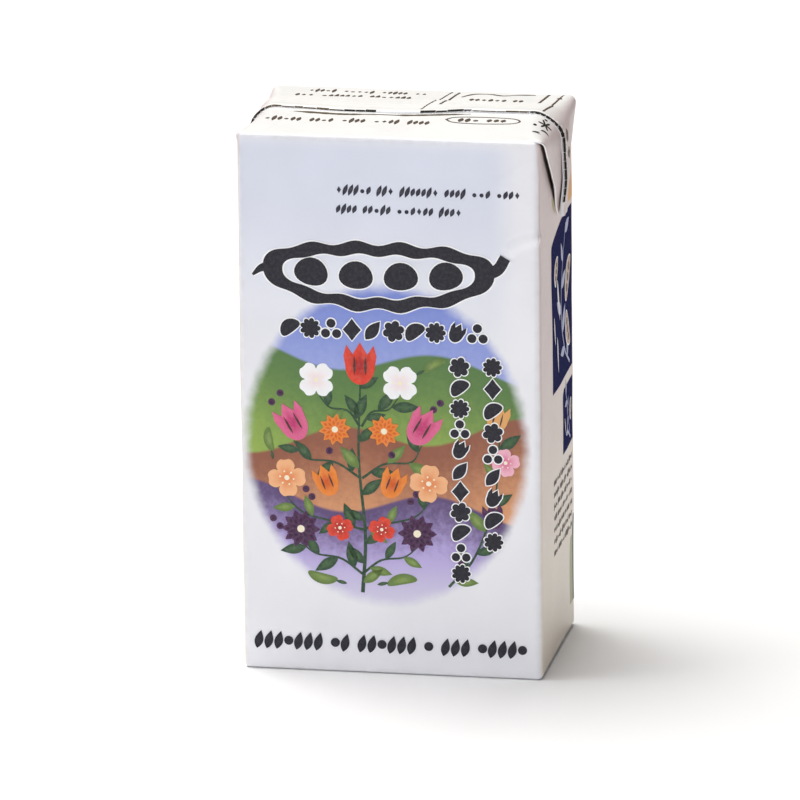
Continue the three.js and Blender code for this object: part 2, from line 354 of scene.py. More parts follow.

# %% [markdown]
# ## The coated board
# The board is white paper under a thin film of plastic. The film gives it a satin shine, slightly
# rippled like orange peel, and the paper's fibres show through as the faintest grain. The folds
# have been rubbed, so the white is a little greyer and warmer there. The fold value is worked out
# for each point of the mesh in Python and stored as an attribute, and the shader only reads it. A
# second value marks the faces that lie hidden below an ear, and the ear's own inner face: they are
# painted dark brown, a painted shade that darkens the gap under the ear. Light and shade are
# painted into the white as well: the side panels and shoulders are tinted darker and warmer by the
# way they face, the upper front darker and bluer, and faces that turn up warmer. A band by the
# front's right fold and a strip under its top fold are left lighter, as painted highlights.
#
# The big soft-edged oval on the front and back belongs to this finish too. It could be cut from
# mesh, but its rim fades away over millimetres, and only a shader fades well. Position on the
# carton, divided by the oval's half sizes, gives the distance from its middle. Wavy bands of blue,
# green, brown and violet then cover each other from the top down, each one shaded from its upper
# edge to its foot.

# %% The oval's bands
OVAL_MIDDLE = (-0.8, 49.0)
OVAL_HALF = (29.6, 34.2)
BOARD_WHITE, BOARD_CLOUD = display(242, 242, 246), display(237, 237, 241)
RUBBED_WHITE = display(222, 218, 217)
# Painted shade: the side panels and shoulders are tinted darker and warmer by the way they face, a little
# lighter towards the base.
SIDE_PAINTED_SHADE, LOW_SIDE_PAINTED_SHADE = display(231, 213, 208), display(254, 243, 224)
# Painted shade on the upper front, darker and bluer, and painted warm light on faces that turn up.
UPPER_FRONT_PAINTED_SHADE, TOP_PAINTED_WARM_LIGHT = display(236, 240, 250), display(255, 254, 248)
# Widths in mm of two painted highlights on the front: a band by its right fold and a strip under its top fold
# keep less of the upper front's painted shade.
PAINTED_HIGHLIGHT_BAND, PAINTED_HIGHLIGHT_TOP = 11.0, 3.4
# Painted shade: the dark brown of the faces under the ears and of the ears' inner faces, which darkens the
# gap.
UNDER_EAR_PAINTED_SHADE = display(96, 82, 70)
BANDS = {
    "sky": dict(rise=1.05, slope=0.0, swing=0.0, turns=0.0, depth=1.3,
                top=display(122, 140, 214), foot=display(190, 198, 238)),
    "meadow": dict(rise=0.52, slope=-0.06, swing=0.075, turns=4.4, depth=0.8,
                   top=display(84, 122, 62), foot=display(150, 178, 78)),
    "field": dict(rise=0.06, slope=0.07, swing=0.07, turns=-5.0, depth=0.7,
                  top=display(146, 86, 62), foot=display(226, 160, 112)),
    "shade": dict(rise=-0.36, slope=-0.05, swing=0.075, turns=4.7, depth=0.42,
                  top=display(92, 70, 118), foot=display(186, 170, 224)),
}
BAND_SOFT = 0.012


def oval_print(finish, base):
    """Lays the oval's bands over the board's white."""
    split = finish.add("ShaderNodeSeparateXYZ", 0, Vector=finish.place).node
    facing = finish.maths("SIGN", finish.maths("MULTIPLY", split.outputs[1], -1.0))
    across = finish.maths("MULTIPLY", split.outputs[0], facing)
    across = finish.maths("DIVIDE", finish.maths("SUBTRACT", across, OVAL_MIDDLE[0] * MM), OVAL_HALF[0] * MM)
    above_middle = finish.maths("SUBTRACT", split.outputs[2], OVAL_MIDDLE[1] * MM)
    up = finish.maths("DIVIDE", above_middle, OVAL_HALF[1] * MM)
    squares = finish.maths("ADD", finish.maths("MULTIPLY", across, across), finish.maths("MULTIPLY", up, up))
    ragged = finish.maths("MULTIPLY", finish.maths("SUBTRACT", finish.grain(3.0), 0.5), 0.05)
    oval = finish.fade(finish.maths("ADD", finish.maths("SQRT", squares), ragged), 1.03, 0.93)
    picture = None
    brush = finish.maths("MULTIPLY", finish.maths("SUBTRACT", finish.grain(1.6, 4.0, 0.7), 0.5), 0.35)
    for band in BANDS.values():
        wave = finish.maths("SINE", finish.maths("MULTIPLY", across, band["turns"]))
        edge = finish.maths("ADD", finish.maths("MULTIPLY", across, band["slope"]), band["rise"])
        edge = finish.maths("ADD", edge, finish.maths("MULTIPLY", wave, band["swing"]))
        below = finish.maths("SUBTRACT", edge, up)
        shaded = finish.fade(finish.maths("ADD", below, brush), 0.0, band["depth"])
        colour = finish.mix(shaded, band["top"], band["foot"])
        if picture is None:
            picture = colour
        else:
            picture = finish.mix(finish.fade(below, -BAND_SOFT, BAND_SOFT), picture, colour)
    pale = finish.fade(up, -0.62, -1.0)
    picture = finish.mix(pale, picture, display(214, 208, 232))
    return finish.mix(oval, base, picture)


def coated_board():
    """White laminated board with rubbed folds, painted shade and painted highlights, and the printed oval."""
    finish = Finish("coated_board", Roughness=0.45, Specular_IOR_Level=0.35,
                    Coat_Weight=0.12, Coat_Roughness=0.25)

    def between(value, start, end, *results):
        """A fade between two places in millimetres."""
        return finish.fade(value, start * MM, end * MM, *results)

    tone = finish.mix(finish.fade(finish.grain(18.0), 0.3, 0.7), BOARD_WHITE, BOARD_CLOUD)
    fold = finish.add("ShaderNodeAttribute", "Fac", {"attribute_name": "fold"})
    rubbed = finish.maths("MULTIPLY", fold, finish.fade(finish.grain(2.2, 4.0), 0.25, 0.75, 0.1, 0.5))
    tone = finish.mix(rubbed, tone, RUBBED_WHITE)
    across, deep, up = finish.add("ShaderNodeSeparateXYZ", 0, Vector=finish.place).node.outputs
    facing = finish.add("ShaderNodeSeparateXYZ", 0, Vector=finish.place.node.outputs["Normal"]).node.outputs
    # Painted shade by facing: faces turned to the sides take the side tint, and near the top they take it at
    # a smaller turn, so the shoulders get it too.
    turned = between(up, HEIGHT - 8, HEIGHT - 3, 0.68, 0.3)
    at_side = finish.product(
        finish.fade(finish.maths("ABSOLUTE", facing[0]), turned, 0.96),
        between(finish.maths("ABSOLUTE", across), HALF_WIDTH - 4.5, HALF_WIDTH - 1))
    # Painted shade on the upper front, growing upwards, with painted highlights left by the right fold and
    # under the top fold.
    on_front = finish.product(
        finish.fade(finish.maths("ABSOLUTE", facing[1]), 0.6, 0.98),
        between(finish.maths("ABSOLUTE", deep), HALF_DEPTH - 3, HALF_DEPTH - 1),
        between(up, 60, 108),
        between(up, HEIGHT, HEIGHT - PAINTED_HIGHLIGHT_TOP, 0.35),
        between(across, HALF_WIDTH - 3.5, HALF_WIDTH - PAINTED_HIGHLIGHT_BAND, 0.0))
    # The painted side shade, lighter towards the base.
    painted_side_shade = finish.mix(between(up, 15, 75), LOW_SIDE_PAINTED_SHADE, SIDE_PAINTED_SHADE)
    # Painted warm light on faces that turn up.
    faces_up = finish.fade(facing[2], 0.6, 0.95)
    for share, tint in ((at_side, painted_side_shade), (on_front, UPPER_FRONT_PAINTED_SHADE), (faces_up, TOP_PAINTED_WARM_LIGHT)):
        tone = finish.mix(share, tone, finish.mix(1.0, tone, tint, "MULTIPLY"))
    # Painted shade: the 'under' value turns the hidden faces under the ears dark brown.
    under = finish.add("ShaderNodeAttribute", "Fac", {"attribute_name": "under"})
    tone = finish.mix(under, tone, UNDER_EAR_PAINTED_SHADE)
    finish.feed(finish.shader.inputs["Base Color"], oval_print(finish, tone))
    fibres = finish.bump(finish.grain(0.35, 3.0, 0.6), 0.012)
    finish.feed(finish.shader.inputs["Normal"], finish.bump(finish.grain(2.6), 0.03, under=fibres))
    finish.feed(finish.shader.inputs["Roughness"], finish.fade(finish.grain(1.2), 0.2, 0.8, 0.36, 0.48))
    return finish.material


board = coated_board()
print("board finish nodes:", len(board.node_tree.nodes))


def record(piece, name, values):
    """Stores one number for each point of a piece, for the shader to read by this name."""
    layer = piece.data.attributes.new(name, "FLOAT", "POINT")
    layer.data.foreach_set("value", np.broadcast_to(np.float32(values), (len(piece.data.vertices),)).copy())


# %% [markdown]
# ## The sleeve
# The sleeve is the closed board body: four upright panels, the top and the base. A cube with a
# bevel would do for the outline, but its big faces couldn't swell or dent. So each of the six
# sides is a grid of about a millimetre, whose lines crowd together over the folds, and the shared
# border points are merged afterwards. The bend lines are spaced by the tangent of equal angles,
# which makes equal steps round the fold.

# %% Build the sleeve
BEND_STEPS = 5
PANEL_STEP = 0.8


def fold_lines(length, border=None):
    """Grid lines across a panel: even on the flat part, and by equal angles round both kinds of fold."""
    flat_end = length / 2 - FOLD_RADIUS
    shares = np.arange(1, BEND_STEPS + 1) / BEND_STEPS
    bends = [length / 2 - radius * (1 - math.tan(math.pi / 4 * share))
             for radius in (FOLD_RADIUS, CRISP_RADIUS) for share in shares]
    inner = np.linspace(-flat_end, flat_end, max(2, round(2 * flat_end / PANEL_STEP)) + 1)
    extra = [] if border is None else [-(length / 2 - border), length / 2 - border]
    return np.unique(np.round([*inner, *bends, *(-value for value in bends), *extra], 6))


def build_sleeve():
    """Six grids on the sharp box, merged along its edges and rounded."""
    xs, ys, zs = fold_lines(WIDTH, BASE_RIM), fold_lines(DEPTH, BASE_RIM), fold_lines(HEIGHT)
    zs = zs + HEIGHT / 2
    points, faces, count = [], [], 0
    for axis, ends in ((0, (xs[0], xs[-1])), (1, (ys[0], ys[-1])), (2, (zs[0], zs[-1]))):
        for end in ends:
            axes = [xs, ys, zs]
            axes[axis] = np.array([end])
            side = grid_of(*axes).squeeze(axis=axis)
            points.append(side.reshape(-1, 3))
            faces.append(quads(*side.shape[:2], first=count))
            count += side.shape[0] * side.shape[1]
    piece = make_piece("sleeve", on_board(np.vstack(points)), np.vstack(faces), board, replaces_carton=True)
    where = np.array([vertex.co for vertex in piece.data.vertices]) / MM
    near = np.sort(np.stack([HALF_WIDTH - abs(where[:, 0]), HALF_DEPTH - abs(where[:, 1]),
                             np.minimum(where[:, 2], HEIGHT - where[:, 2])]), axis=0)
    record(piece, "fold", 1 - rising(0.2, 2.0, near[1]))
    # Painted shade under each ear: side-panel points inside the ear's triangle get the 'under' value.
    slant = HALF_DEPTH - abs(where[:, 1]) - (HEIGHT - where[:, 2])
    at_side = rising(HALF_WIDTH - 0.6, HALF_WIDTH - 0.1, abs(where[:, 0]))
    record(piece, "under", at_side * rising(0.2, 0.9, slant))


build_sleeve()

# %% [markdown]
# ## Two pressed layers
# An ear, a seal and an overlap are all the same thing: a flat strip of two pressed layers of board
# whose folded edges are round. Such a strip is built from one grid used twice, once for its outer
# face and once for its inner face, with a wall between their borders. Near the border both faces
# draw together along a half circle, which rounds the edge. Blender's Solidify modifier could
# thicken a sheet as well, but it can't lift one edge and sink the other.


# %% A strip of pressed board
def edge_round(distance, radius):
    """1 inside the strip, falling to 0 at its border along a quarter circle."""
    inner = 1 - np.clip(distance / radius, 0, 1)
    return np.sqrt(np.clip(1 - inner * inner, 0, 1))


def strip_mesh(outer, inner):
    """A closed strip between two grids of points: outer face, inner face and the walls between."""
    rows, columns = outer.shape[:2]
    count = rows * columns
    index = np.arange(count).reshape(rows, columns)
    rim = [*index[0, :-1], *index[:-1, -1], *index[-1, :0:-1], *index[:0:-1, 0]]
    walls = [(a, b, b + count, a + count) for a, b in zip(rim, rim[1:] + rim[:1])]
    points = np.vstack([outer.reshape(-1, 3), inner.reshape(-1, 3)])
    return points, [*quads(rows, columns), *quads(rows, columns, count)[:, ::-1], *walls]


EDGE_SHARES = (0, 0.04, 0.12, 0.3, 0.6)


def strip_lines(low, high, step, edge):
    """Grid lines from low to high that crowd together at both ends, where the border is rounded."""
    middle = np.linspace(low + edge, high - edge, max(2, round((high - low - 2 * edge) / step)) + 1)
    close = np.array(EDGE_SHARES) * edge
    return np.unique(np.round([*(low + close), *middle, *(high - close)], 6))


print("strip lines over 10 mm:", len(strip_lines(0, 10, 1, 0.4)))

# %% [markdown]
# ## The ears
# Each end of the top pinch leaves a triangle of board. It is folded over the shoulder, down on the
# side panel, and glued only near its tip. So its two slanting edges stand off the side panel, and
# the gap under them is dark. A path over the shoulder gives the ear's place: first flat along the
# top, then a quarter turn, then straight down. Lift is added along the outward direction of the path.

# %% The path over the shoulder
SHOULDER_REACH, EAR_LEAD, EAR_FILM = 4.0, 1.6, 0.015
EAR_BOARD, EAR_TIP_LIFT, SUNK = 0.44, 0.34, 0.15
STAND_OFF = {1: 1.15, -1: 0.36}


def bend_length(y):
    """How long the quarter turn over the shoulder is at this depth."""
    return math.pi / 2 * crease_radius(HALF_WIDTH, y)


LINE_END = HALF_DEPTH - SHOULDER_RADIUS + bend_length(0)


def shoulder_drop(run, y):
    """How far below the top the path is after this run past the top's flat part."""
    radius, bend = crease_radius(HALF_WIDTH, y), bend_length(y)
    return radius * (1 - np.cos(np.clip(run, 0, bend) / radius)) + np.maximum(0, run - bend)


def over_shoulder(side, run, y, lift):
    """A place on the path over the right (1) or left (-1) shoulder."""
    radius = crease_radius(HALF_WIDTH, y)
    turn = np.clip(run, 0, bend_length(y)) / radius
    x = HALF_WIDTH - radius * (1 - np.sin(turn)) + np.minimum(0, run)
    z = HEIGHT - shoulder_drop(run, y)
    past_crease = np.clip(abs(y) - (HALF_DEPTH - CRISP_RADIUS), 0, CRISP_RADIUS)
    past_fold = np.clip(abs(y) - (HALF_DEPTH - FOLD_RADIUS), 0, FOLD_RADIUS)
    top_inset = CRISP_RADIUS - np.sqrt(CRISP_RADIUS ** 2 - past_crease ** 2)
    side_inset = FOLD_RADIUS - np.sqrt(FOLD_RADIUS ** 2 - past_fold ** 2)
    inset = top_inset + (side_inset - top_inset) * rising(0, 1, np.sin(turn))
    lift = lift - inset + dents(side * x, y, z)
    return swell(np.stack([side * (x + np.sin(turn) * lift), y + 0 * run, z + np.cos(turn) * lift], axis=-1))


def ear_lift(side, run, y):
    """Height of the ear's outer face: it rises round the shoulder, stands off, and is glued at the tip."""
    lead = EAR_LEAD * np.sqrt(np.clip(1.02 - (y / HALF_DEPTH) ** 2, 0.01, 1))
    rise = rising(0, 1, (run + lead) / (bend_length(y) + lead))
    glued = rising(LINE_END - 9, LINE_END - 1, run + 0.1 * abs(y))
    return EAR_FILM + rise * (STAND_OFF[side] - (STAND_OFF[side] - EAR_TIP_LIFT) * glued)


def ear_half(run):
    """Half the ear's width here: its slanting edge drops one millimetre for each millimetre inwards."""
    half = np.full_like(run, HALF_DEPTH - CRISP_RADIUS)
    for _ in range(6):
        half = np.minimum(HALF_DEPTH - 0.45, HALF_DEPTH - shoulder_drop(run, half))
    return half


def build_ear(name, side):
    """One ear from the flat of the top, over the shoulder, down to its tip."""
    runs = np.unique(np.round([*strip_lines(-SHOULDER_REACH, LINE_END - 0.5, 0.7, EAR_BOARD / 2),
                               *np.arange(0.0, 4.2, 0.3)], 6))
    shares = strip_lines(-1, 1, 0.045, 0.05)
    run, share = np.moveaxis(grid_of(runs, shares), -1, 0)
    y = share * ear_half(run)
    to_border = np.minimum(ear_half(run) - abs(y), LINE_END - 0.5 - run)
    thick = EAR_BOARD / 2 * edge_round(to_border, EAR_BOARD / 2)
    middle = ear_lift(side, run, y) - EAR_BOARD / 2
    outer = over_shoulder(side, run, y, middle + thick)
    inner = over_shoulder(side, run, y, middle - thick)
    piece = make_piece(name, *strip_mesh(outer, inner), board, replaces_carton=True)
    where = np.array([vertex.co for vertex in piece.data.vertices]) / MM
    drop = HEIGHT - where[:, 2]
    record(piece, "fold", 0.8 * (1 - rising(0.1, 1.2, abs(HALF_DEPTH - abs(where[:, 1]) - drop))))
    run = drop - crease_radius(HALF_WIDTH, where[:, 1]) + bend_length(where[:, 1])
    # Painted shade on the ear's inner face, from the 'under' value.
    face = abs(where[:, 0]) - HALF_WIDTH - ear_lift(side, run, where[:, 1])
    record(piece, "under", (drop > SHOULDER_RADIUS) * (face < -0.75 * EAR_BOARD + SIDE_SWELL / 2))


build_ear("ear_right", 1)
build_ear("ear_left", -1)

# %% [markdown]
# ## The seal across the top
# The pinched seal is a fin that runs from ear tip to ear tip. It is folded flat towards the back,
# so its root is a small roll down the middle of the top, and its free edge is cut straight. The
# jaws that sealed it left fine ribs across its width. Its ends hang over the ears and aren't
# glued, so they stand off a little more the further down they reach.

# %% Build the top seal
SEAL_WIDTH, SEAL_BOARD, SEAL_ROOT = 7.6, 0.66, -0.6
ROOT_ROLL = ((-0.6, 0.0), (-0.56, 0.42), (-0.44, 0.74), (-0.22, 1.02),
             (0.08, 1.18), (0.42, 1.2), (0.9, 1.1), (1.8, 1.0))
RIB_PITCH, RIB_HEIGHT = 1.15, 0.035
SEAL_STRAIGHT = HALF_WIDTH - crease_radius(HALF_WIDTH, 0)
ROOT_BOW, BOW_MIDDLE, BOW_LEFT, BOW_RIGHT = 2.7, -5.0, 30.0, 19.0


def root_bow(along):
    """How far the seal's root bows to the front of the top's middle line."""
    reach = np.where(along < BOW_MIDDLE, BOW_LEFT, BOW_RIGHT)
    return ROOT_BOW * np.clip(1 - ((along - BOW_MIDDLE) / reach) ** 2, 0, 1) ** 1.5


def ear_below(along, y):
    """Height of the ear's outer face at a place counted along the seal."""
    run = abs(along) - SEAL_STRAIGHT
    return np.where(along > 0, ear_lift(1, run, y), ear_lift(-1, run, y))


def seal_lift(along, y):
    """Height of the seal's outer face over the board or the ear that it lies on."""
    run = abs(along) - SEAL_STRAIGHT
    roll = np.interp(y, *zip(*ROOT_ROLL))
    ribs = RIB_HEIGHT * np.sin(2 * math.pi * y / RIB_PITCH)
    ribs = ribs * rising(1.8, 2.6, y) * rising(0.2, 0.9, SEAL_WIDTH - y)
    hanging = 0.5 * rising(4, LINE_END - 2, run) * (1 - rising(3, SEAL_WIDTH, y))
    flatter = 1 - 0.25 * root_bow(along) / ROOT_BOW * (1 - rising(1, 4, y))
    return SEAL_BOARD * roll * flatter + ribs + hanging + ear_below(along, y)


def over_ridge(along, y, lift):
    """A place over the top and both ears, counted from the middle of the top to the right."""
    run = abs(along) - SEAL_STRAIGHT
    right_side = over_shoulder(1, run, y, lift)
    left_side = over_shoulder(-1, run, y, lift)
    return np.where((along > 0)[..., None], right_side, left_side)


def over_seal(along, y, lift):
    """A place over the seal, whose root bows forwards while its free edge stays straight."""
    return over_ridge(along, y - root_bow(along) * (1 - np.clip(y / SEAL_WIDTH, 0, 1)), lift)


def build_top_seal():
    """The folded fin as one long strip, with a hollow under its rolled root."""
    end = SEAL_STRAIGHT + LINE_END
    alongs = strip_lines(-end, end, 0.9, 0.2)
    ys = np.unique(np.round([*(at for at, _ in ROOT_ROLL), *strip_lines(1.8, SEAL_WIDTH, 0.2875, 0.25)], 6))
    along, y = np.moveaxis(grid_of(alongs, ys), -1, 0)
    outer = seal_lift(along, y)
    root = rising(SEAL_ROOT, SEAL_ROOT + 0.5, y)
    cut = edge_round(np.minimum(SEAL_WIDTH - y, end - abs(along)), 0.14)
    below = SEAL_BOARD * 0.93 * (0.15 + 0.85 * root)
    outer_face = over_seal(along, y, outer - SEAL_BOARD * 0.2 * (1 - cut))
    inner_face = over_seal(along, y, outer - below + SEAL_BOARD * 0.1 * (1 - cut))
    return make_piece("top_seal", *strip_mesh(outer_face, inner_face), board, replaces_carton=True)


top_seal = build_top_seal()
record(top_seal, "fold", 0.25)

# %% [markdown]
# ## Folds under the base
# The base is closed in the same way, but its two ears are tucked under, flat against the pressed-in
# base panel, and its seal shows only between their tips. Nobody sees it on a shelf, yet a carton
# that is tipped over would look wrong without it. These strips reach up into the board behind them
# and stop just above the table.

# %% Build the base folds
BASE_EAR_HEIGHT, BASE_SEAL_HEIGHT = 0.12, 0.35
BURIED = 1.1


def build_base_ear(name, side):
    """A flat triangle from the base's end fold to its tip at the middle."""
    inwards = strip_lines(0.4, HALF_DEPTH - 0.4, 0.8, 0.3)
    shares = strip_lines(-1, 1, 0.06, 0.04)
    inward, share = np.moveaxis(grid_of(inwards, shares), -1, 0)
    half = HALF_DEPTH - FOLD_RADIUS - inward
    half = np.maximum(0.3, half)
    x = side * (HALF_WIDTH - FOLD_RADIUS - inward)
    to_border = np.minimum((1 - abs(share)) * half, HALF_DEPTH - 0.4 - inward)
    low = BASE_EAR_HEIGHT + 0.3 * (1 - edge_round(to_border, 0.3))
    outer = np.stack([x, share * half, low], axis=-1)
    inner = np.stack([x, share * half, low + BURIED], axis=-1)
    return make_piece(name, *strip_mesh(outer, inner), board, replaces_carton=True)


def build_base_seal():
    """The lower seal's fin, which lies between the base ears' tips and under them."""
    end = HALF_WIDTH - HALF_DEPTH + SEAL_WIDTH + FOLD_RADIUS
    x, y = np.moveaxis(grid_of(strip_lines(-end, end, 1.2, 0.3), strip_lines(0, SEAL_WIDTH, 0.6, 0.3)), -1, 0)
    to_border = np.minimum(np.minimum(y, SEAL_WIDTH - y), end - abs(x))
    low = BASE_SEAL_HEIGHT + 0.3 * (1 - edge_round(to_border, 0.3))
    outer = np.stack([x, y, low], axis=-1)
    inner = np.stack([x, y, low + BURIED], axis=-1)
    return make_piece("base_seal", *strip_mesh(outer, inner), board, replaces_carton=True)


for piece in (build_base_ear("base_ear_right", 1), build_base_ear("base_ear_left", -1), build_base_seal()):
    record(piece, "fold", 0.4)

# %% [markdown]
# ## The overlap down the back
# The sheet became a tube by lapping one edge over the other down the back. The lap is one board
# thicker, its cut edge is a fine straight line, and its other side fades into the panel. Ink that
# crosses it has to climb it, so its height is a function of the place and not only a shape.

# %% Build the back overlap
LAP_EDGE, LAP_WIDTH, LAP_RAMP, LAP_BOARD = -27.0, 8.0, 14.0, 0.35
LAP_FOOT = FOLD_RADIUS * 1.2


def lap_lift(x, y):
    """How much the lapped board raises the back panel here."""
    full = (x >= LAP_EDGE) * (1 - rising(LAP_EDGE + LAP_WIDTH, LAP_EDGE + LAP_WIDTH + LAP_RAMP, x))
    return np.where(y >= HALF_DEPTH - 1e-6, LAP_BOARD * full, 0)


def build_back_lap():
    """The lapped strip from the base fold to the top fold."""
    xs = strip_lines(LAP_EDGE, LAP_EDGE + LAP_WIDTH + LAP_RAMP, 0.6, 0.12)
    zs = strip_lines(LAP_FOOT, HEIGHT - LAP_FOOT, 1.2, 0.4)
    x, z = np.moveaxis(grid_of(xs, zs), -1, 0)
    back = np.stack([x, np.full_like(x, HALF_DEPTH), z], axis=-1)
    fade = 1 - rising(LAP_EDGE + LAP_WIDTH, LAP_EDGE + LAP_WIDTH + LAP_RAMP, x)
    outer = on_board(back, (LAP_BOARD + SUNK) * fade - SUNK - 0.1 * (1 - edge_round(x - LAP_EDGE, 0.12)))
    inner = on_board(back, np.full_like(x, -BURIED / 2))
    return make_piece("back_overlap", *strip_mesh(outer, inner), board, replaces_carton=True)


back_lap = build_back_lap()
record(back_lap, "fold", 0.1)

# %% [markdown]
# ## Ink as thin mesh
# Print could be painted by the shader as well. But small crisp marks would need a node for every
# edge, and a baked picture of them would be blurred. So each ink is a mesh of thin flakes that lie
# on the board: real shapes with clean edges, about 0.04 millimetres proud, and a little more for
# each ink that is printed over another. A flake is drawn flat first, on a plan of the unrolled
# carton, and a placing function then wraps it round the folds.
#
# There is a placing function for each kind of surface: the four upright panels, the top, the right
# ear with its shoulder, and the seal. They reuse the paths from above.


# %% Placing functions
def on_mantle(run, z, lift):
    """A place on the upright panels; run goes to the right from the middle of the front."""
    girth = 2 * (WIDTH + DEPTH)
    run = (run + girth / 2) % girth - girth / 2
    way = abs(run)
    past_back_fold = way - HALF_WIDTH - DEPTH
    x = np.where(way < HALF_WIDTH + DEPTH, way, HALF_WIDTH - past_back_fold)
    x = np.minimum(x, HALF_WIDTH)
    x = np.where(run < 0, -x, x)
    y = np.clip(way - HALF_WIDTH, 0, DEPTH) - HALF_DEPTH
    return on_board(np.stack([x, y, z], axis=-1), lift + lap_lift(x, y))


def on_back(across, z, lift):
    """A place on the back panel, counted to the right from its middle as a viewer behind it sees it."""
    return on_mantle(across + WIDTH + DEPTH, z, lift)


def on_top(x, y, lift):
    """A place on the top panel."""
    return on_board(np.stack([x, y, np.full_like(x, HEIGHT)], axis=-1), lift)


def on_right_ear(run, y, lift):
    """A place on the right ear, where run is the way past the top's flat part."""
    return over_shoulder(1, run, y, ear_lift(1, run, y) + lift)


def on_seal(along, y, lift):
    """A place on the outer face of the top seal."""
    return over_seal(along, y, seal_lift(along, y) + lift)


def on_right_shoulder(x, y, lift):
    """A place near the right shoulder, counted by its true x as far as the top is flat."""
    return on_right_ear(x - HALF_WIDTH + crease_radius(HALF_WIDTH, y), y, lift)


probe = on_mantle(np.array([0.0, HALF_WIDTH + HALF_DEPTH, WIDTH + DEPTH]), np.full(3, 57.0), np.zeros(3))
print("middles of front, right side and back, mm:", probe.round(1).tolist())

# %% [markdown]
# ## Drawing flakes
# Every mark is one of two kinds. A filled shape is a fan of rings from its outline to its middle,
# which works for anything that can be seen whole from its middle: a disc, a leaf, a bean, a round
# flower. A stroke is a band between two edges, open for a stem or closed for a ring. Each point of
# a filled shape also knows how near the middle it is, so that the ink can deepen towards it, as
# an airbrushed flower does. The printing function gives all flakes of one ink a top, a bottom
# sunk into the board, and walls.

# %% Filled shapes, strokes and printing
INK_FILM, INK_STEP, INK_SUNK = 0.035, 0.008, 0.05
RING_SHARES = (1.0, 0.78, 0.52, 0.26)


def filled(outline, middle, rise=0.0):
    """A filled shape: its points, faces, border loops, nearness to the middle, and rise over its layer."""
    count, rings = len(outline), len(RING_SHARES)
    circuits = [middle + (outline - middle) * share for share in RING_SHARES]
    points = np.vstack([*circuits, np.asarray(middle)[None]])
    near = np.repeat(1 - np.array([*RING_SHARES, 0.0]), [count] * rings + [1])
    following = [(place + 1) % count for place in range(count)]
    faces = [(first + a, first + b, first + count + b, first + count + a)
             for first in range(0, (rings - 1) * count, count) for a, b in enumerate(following)]
    last = (rings - 1) * count
    faces += [(last + a, last + b, rings * count) for a, b in enumerate(following)]
    return points, faces, [list(range(count))], near, rise


def stroke(left, right, closed=False, rise=0.0):
    """A band between two edges; closed makes a ring of it."""
    count = len(left)
    steps = [(a, (a + 1) % count) for a in range(count if closed else count - 1)]
    faces = [(a, b, count + b, count + a) for a, b in steps]
    there, back = list(range(count)), list(range(count, 2 * count))
    loops = [there, back] if closed else [there + back[::-1]]
    return np.vstack([left, right]), faces, loops, np.zeros(2 * count), rise


def line(points, widths, rise=0.0):
    """A stroke along a path of points; widths is one number or one for each point."""
    points = np.asarray(points, float)
    way = np.gradient(points, axis=0)
    normal = np.stack([-way[:, 1], way[:, 0]], axis=-1) / np.linalg.norm(way, axis=1, keepdims=True)
    half = np.broadcast_to(np.asarray(widths, float) / 2, (len(points),))[:, None]
    return stroke(points + normal * half, points - normal * half, rise=rise)


def curve_through(corners, steps=24):
    """A smooth path through a few corners, by Catmull-Rom interpolation."""
    corners = np.asarray(corners, float)
    padded = np.vstack([2 * corners[0] - corners[1], corners, 2 * corners[-1] - corners[-2]])
    path = []
    for share in np.linspace(0, len(corners) - 1, steps):
        first = min(int(share), len(corners) - 2)
        t = share - first
        a, b, c, d = padded[first:first + 4]
        squared, cubed = 2 * a - 5 * b + 4 * c - d, 3 * b - a - 3 * c + d
        path.append(0.5 * (2 * b + (c - a) * t + squared * t ** 2 + cubed * t ** 3))
    return np.array(path)


def print_ink(name, ink, place, flakes, layer=1):
    """Makes one piece from all the flakes of an ink, wrapped on the carton by a placing function."""
    plan = np.vstack([flake[0] for flake in flakes])
    film = np.concatenate([np.full(len(points), INK_FILM + (layer + rise) * INK_STEP)
                           for points, _, _, _, rise in flakes])
    faces, count, total = [], 0, len(plan)
    for points, shape_faces, loops, _, _ in flakes:
        faces += [tuple(count + corner for corner in face) for face in shape_faces]
        faces += [tuple(total + count + corner for corner in face[::-1]) for face in shape_faces]
        for loop in loops:
            pairs = zip(loop, loop[1:] + loop[:1])
            faces += [(count + a, total + count + a, total + count + b, count + b) for a, b in pairs]
        count += len(points)
    top = place(plan[:, 0], plan[:, 1], film)
    bottom = place(plan[:, 0], plan[:, 1], np.full(total, -INK_SUNK))
    piece = make_piece(name, np.vstack([top, bottom]), faces, ink, weld=False)
    near = np.concatenate([flake[3] for flake in flakes])
    record(piece, "near_middle", np.tile(near, 2))
    return piece


# %% [markdown]
# ## The inks
# Offset ink is a thin, even film, a touch duller than the bare coating, and it never lies quite
# solid: the board's grain shows through it as a slight mottle. Where a shape deepens towards its
# middle, the nearness that the mesh carries mixes a second colour in. One function makes all the
# inks. They differ in their two colours, and a few are duller or more even than the others.


# %% Mix the inks
def mix_ink(name, full, heart=None, mottle=0.04, shine=0.2):
    """A printed ink with a slight mottle that turns into the heart colour near a shape's middle."""
    finish = Finish(f"ink_{name}", Roughness=0.5, Specular_IOR_Level=shine,
                    Coat_Weight=shine / 5, Coat_Roughness=0.3)
    near = finish.add("ShaderNodeAttribute", "Fac", {"attribute_name": "near_middle"})
    colour = finish.mix(finish.fade(near, 0.1, 0.95), display(*full), display(*(heart or full)))
    thin = finish.fade(finish.grain(0.7, 3.0), 0.35, 0.75, 0.0, mottle)
    finish.feed(finish.shader.inputs["Base Color"], finish.mix(thin, colour, display(255, 255, 255)))
    finish.feed(finish.shader.inputs["Normal"], finish.bump(finish.grain(0.35, 3.0, 0.6), 0.01))
    return finish.material


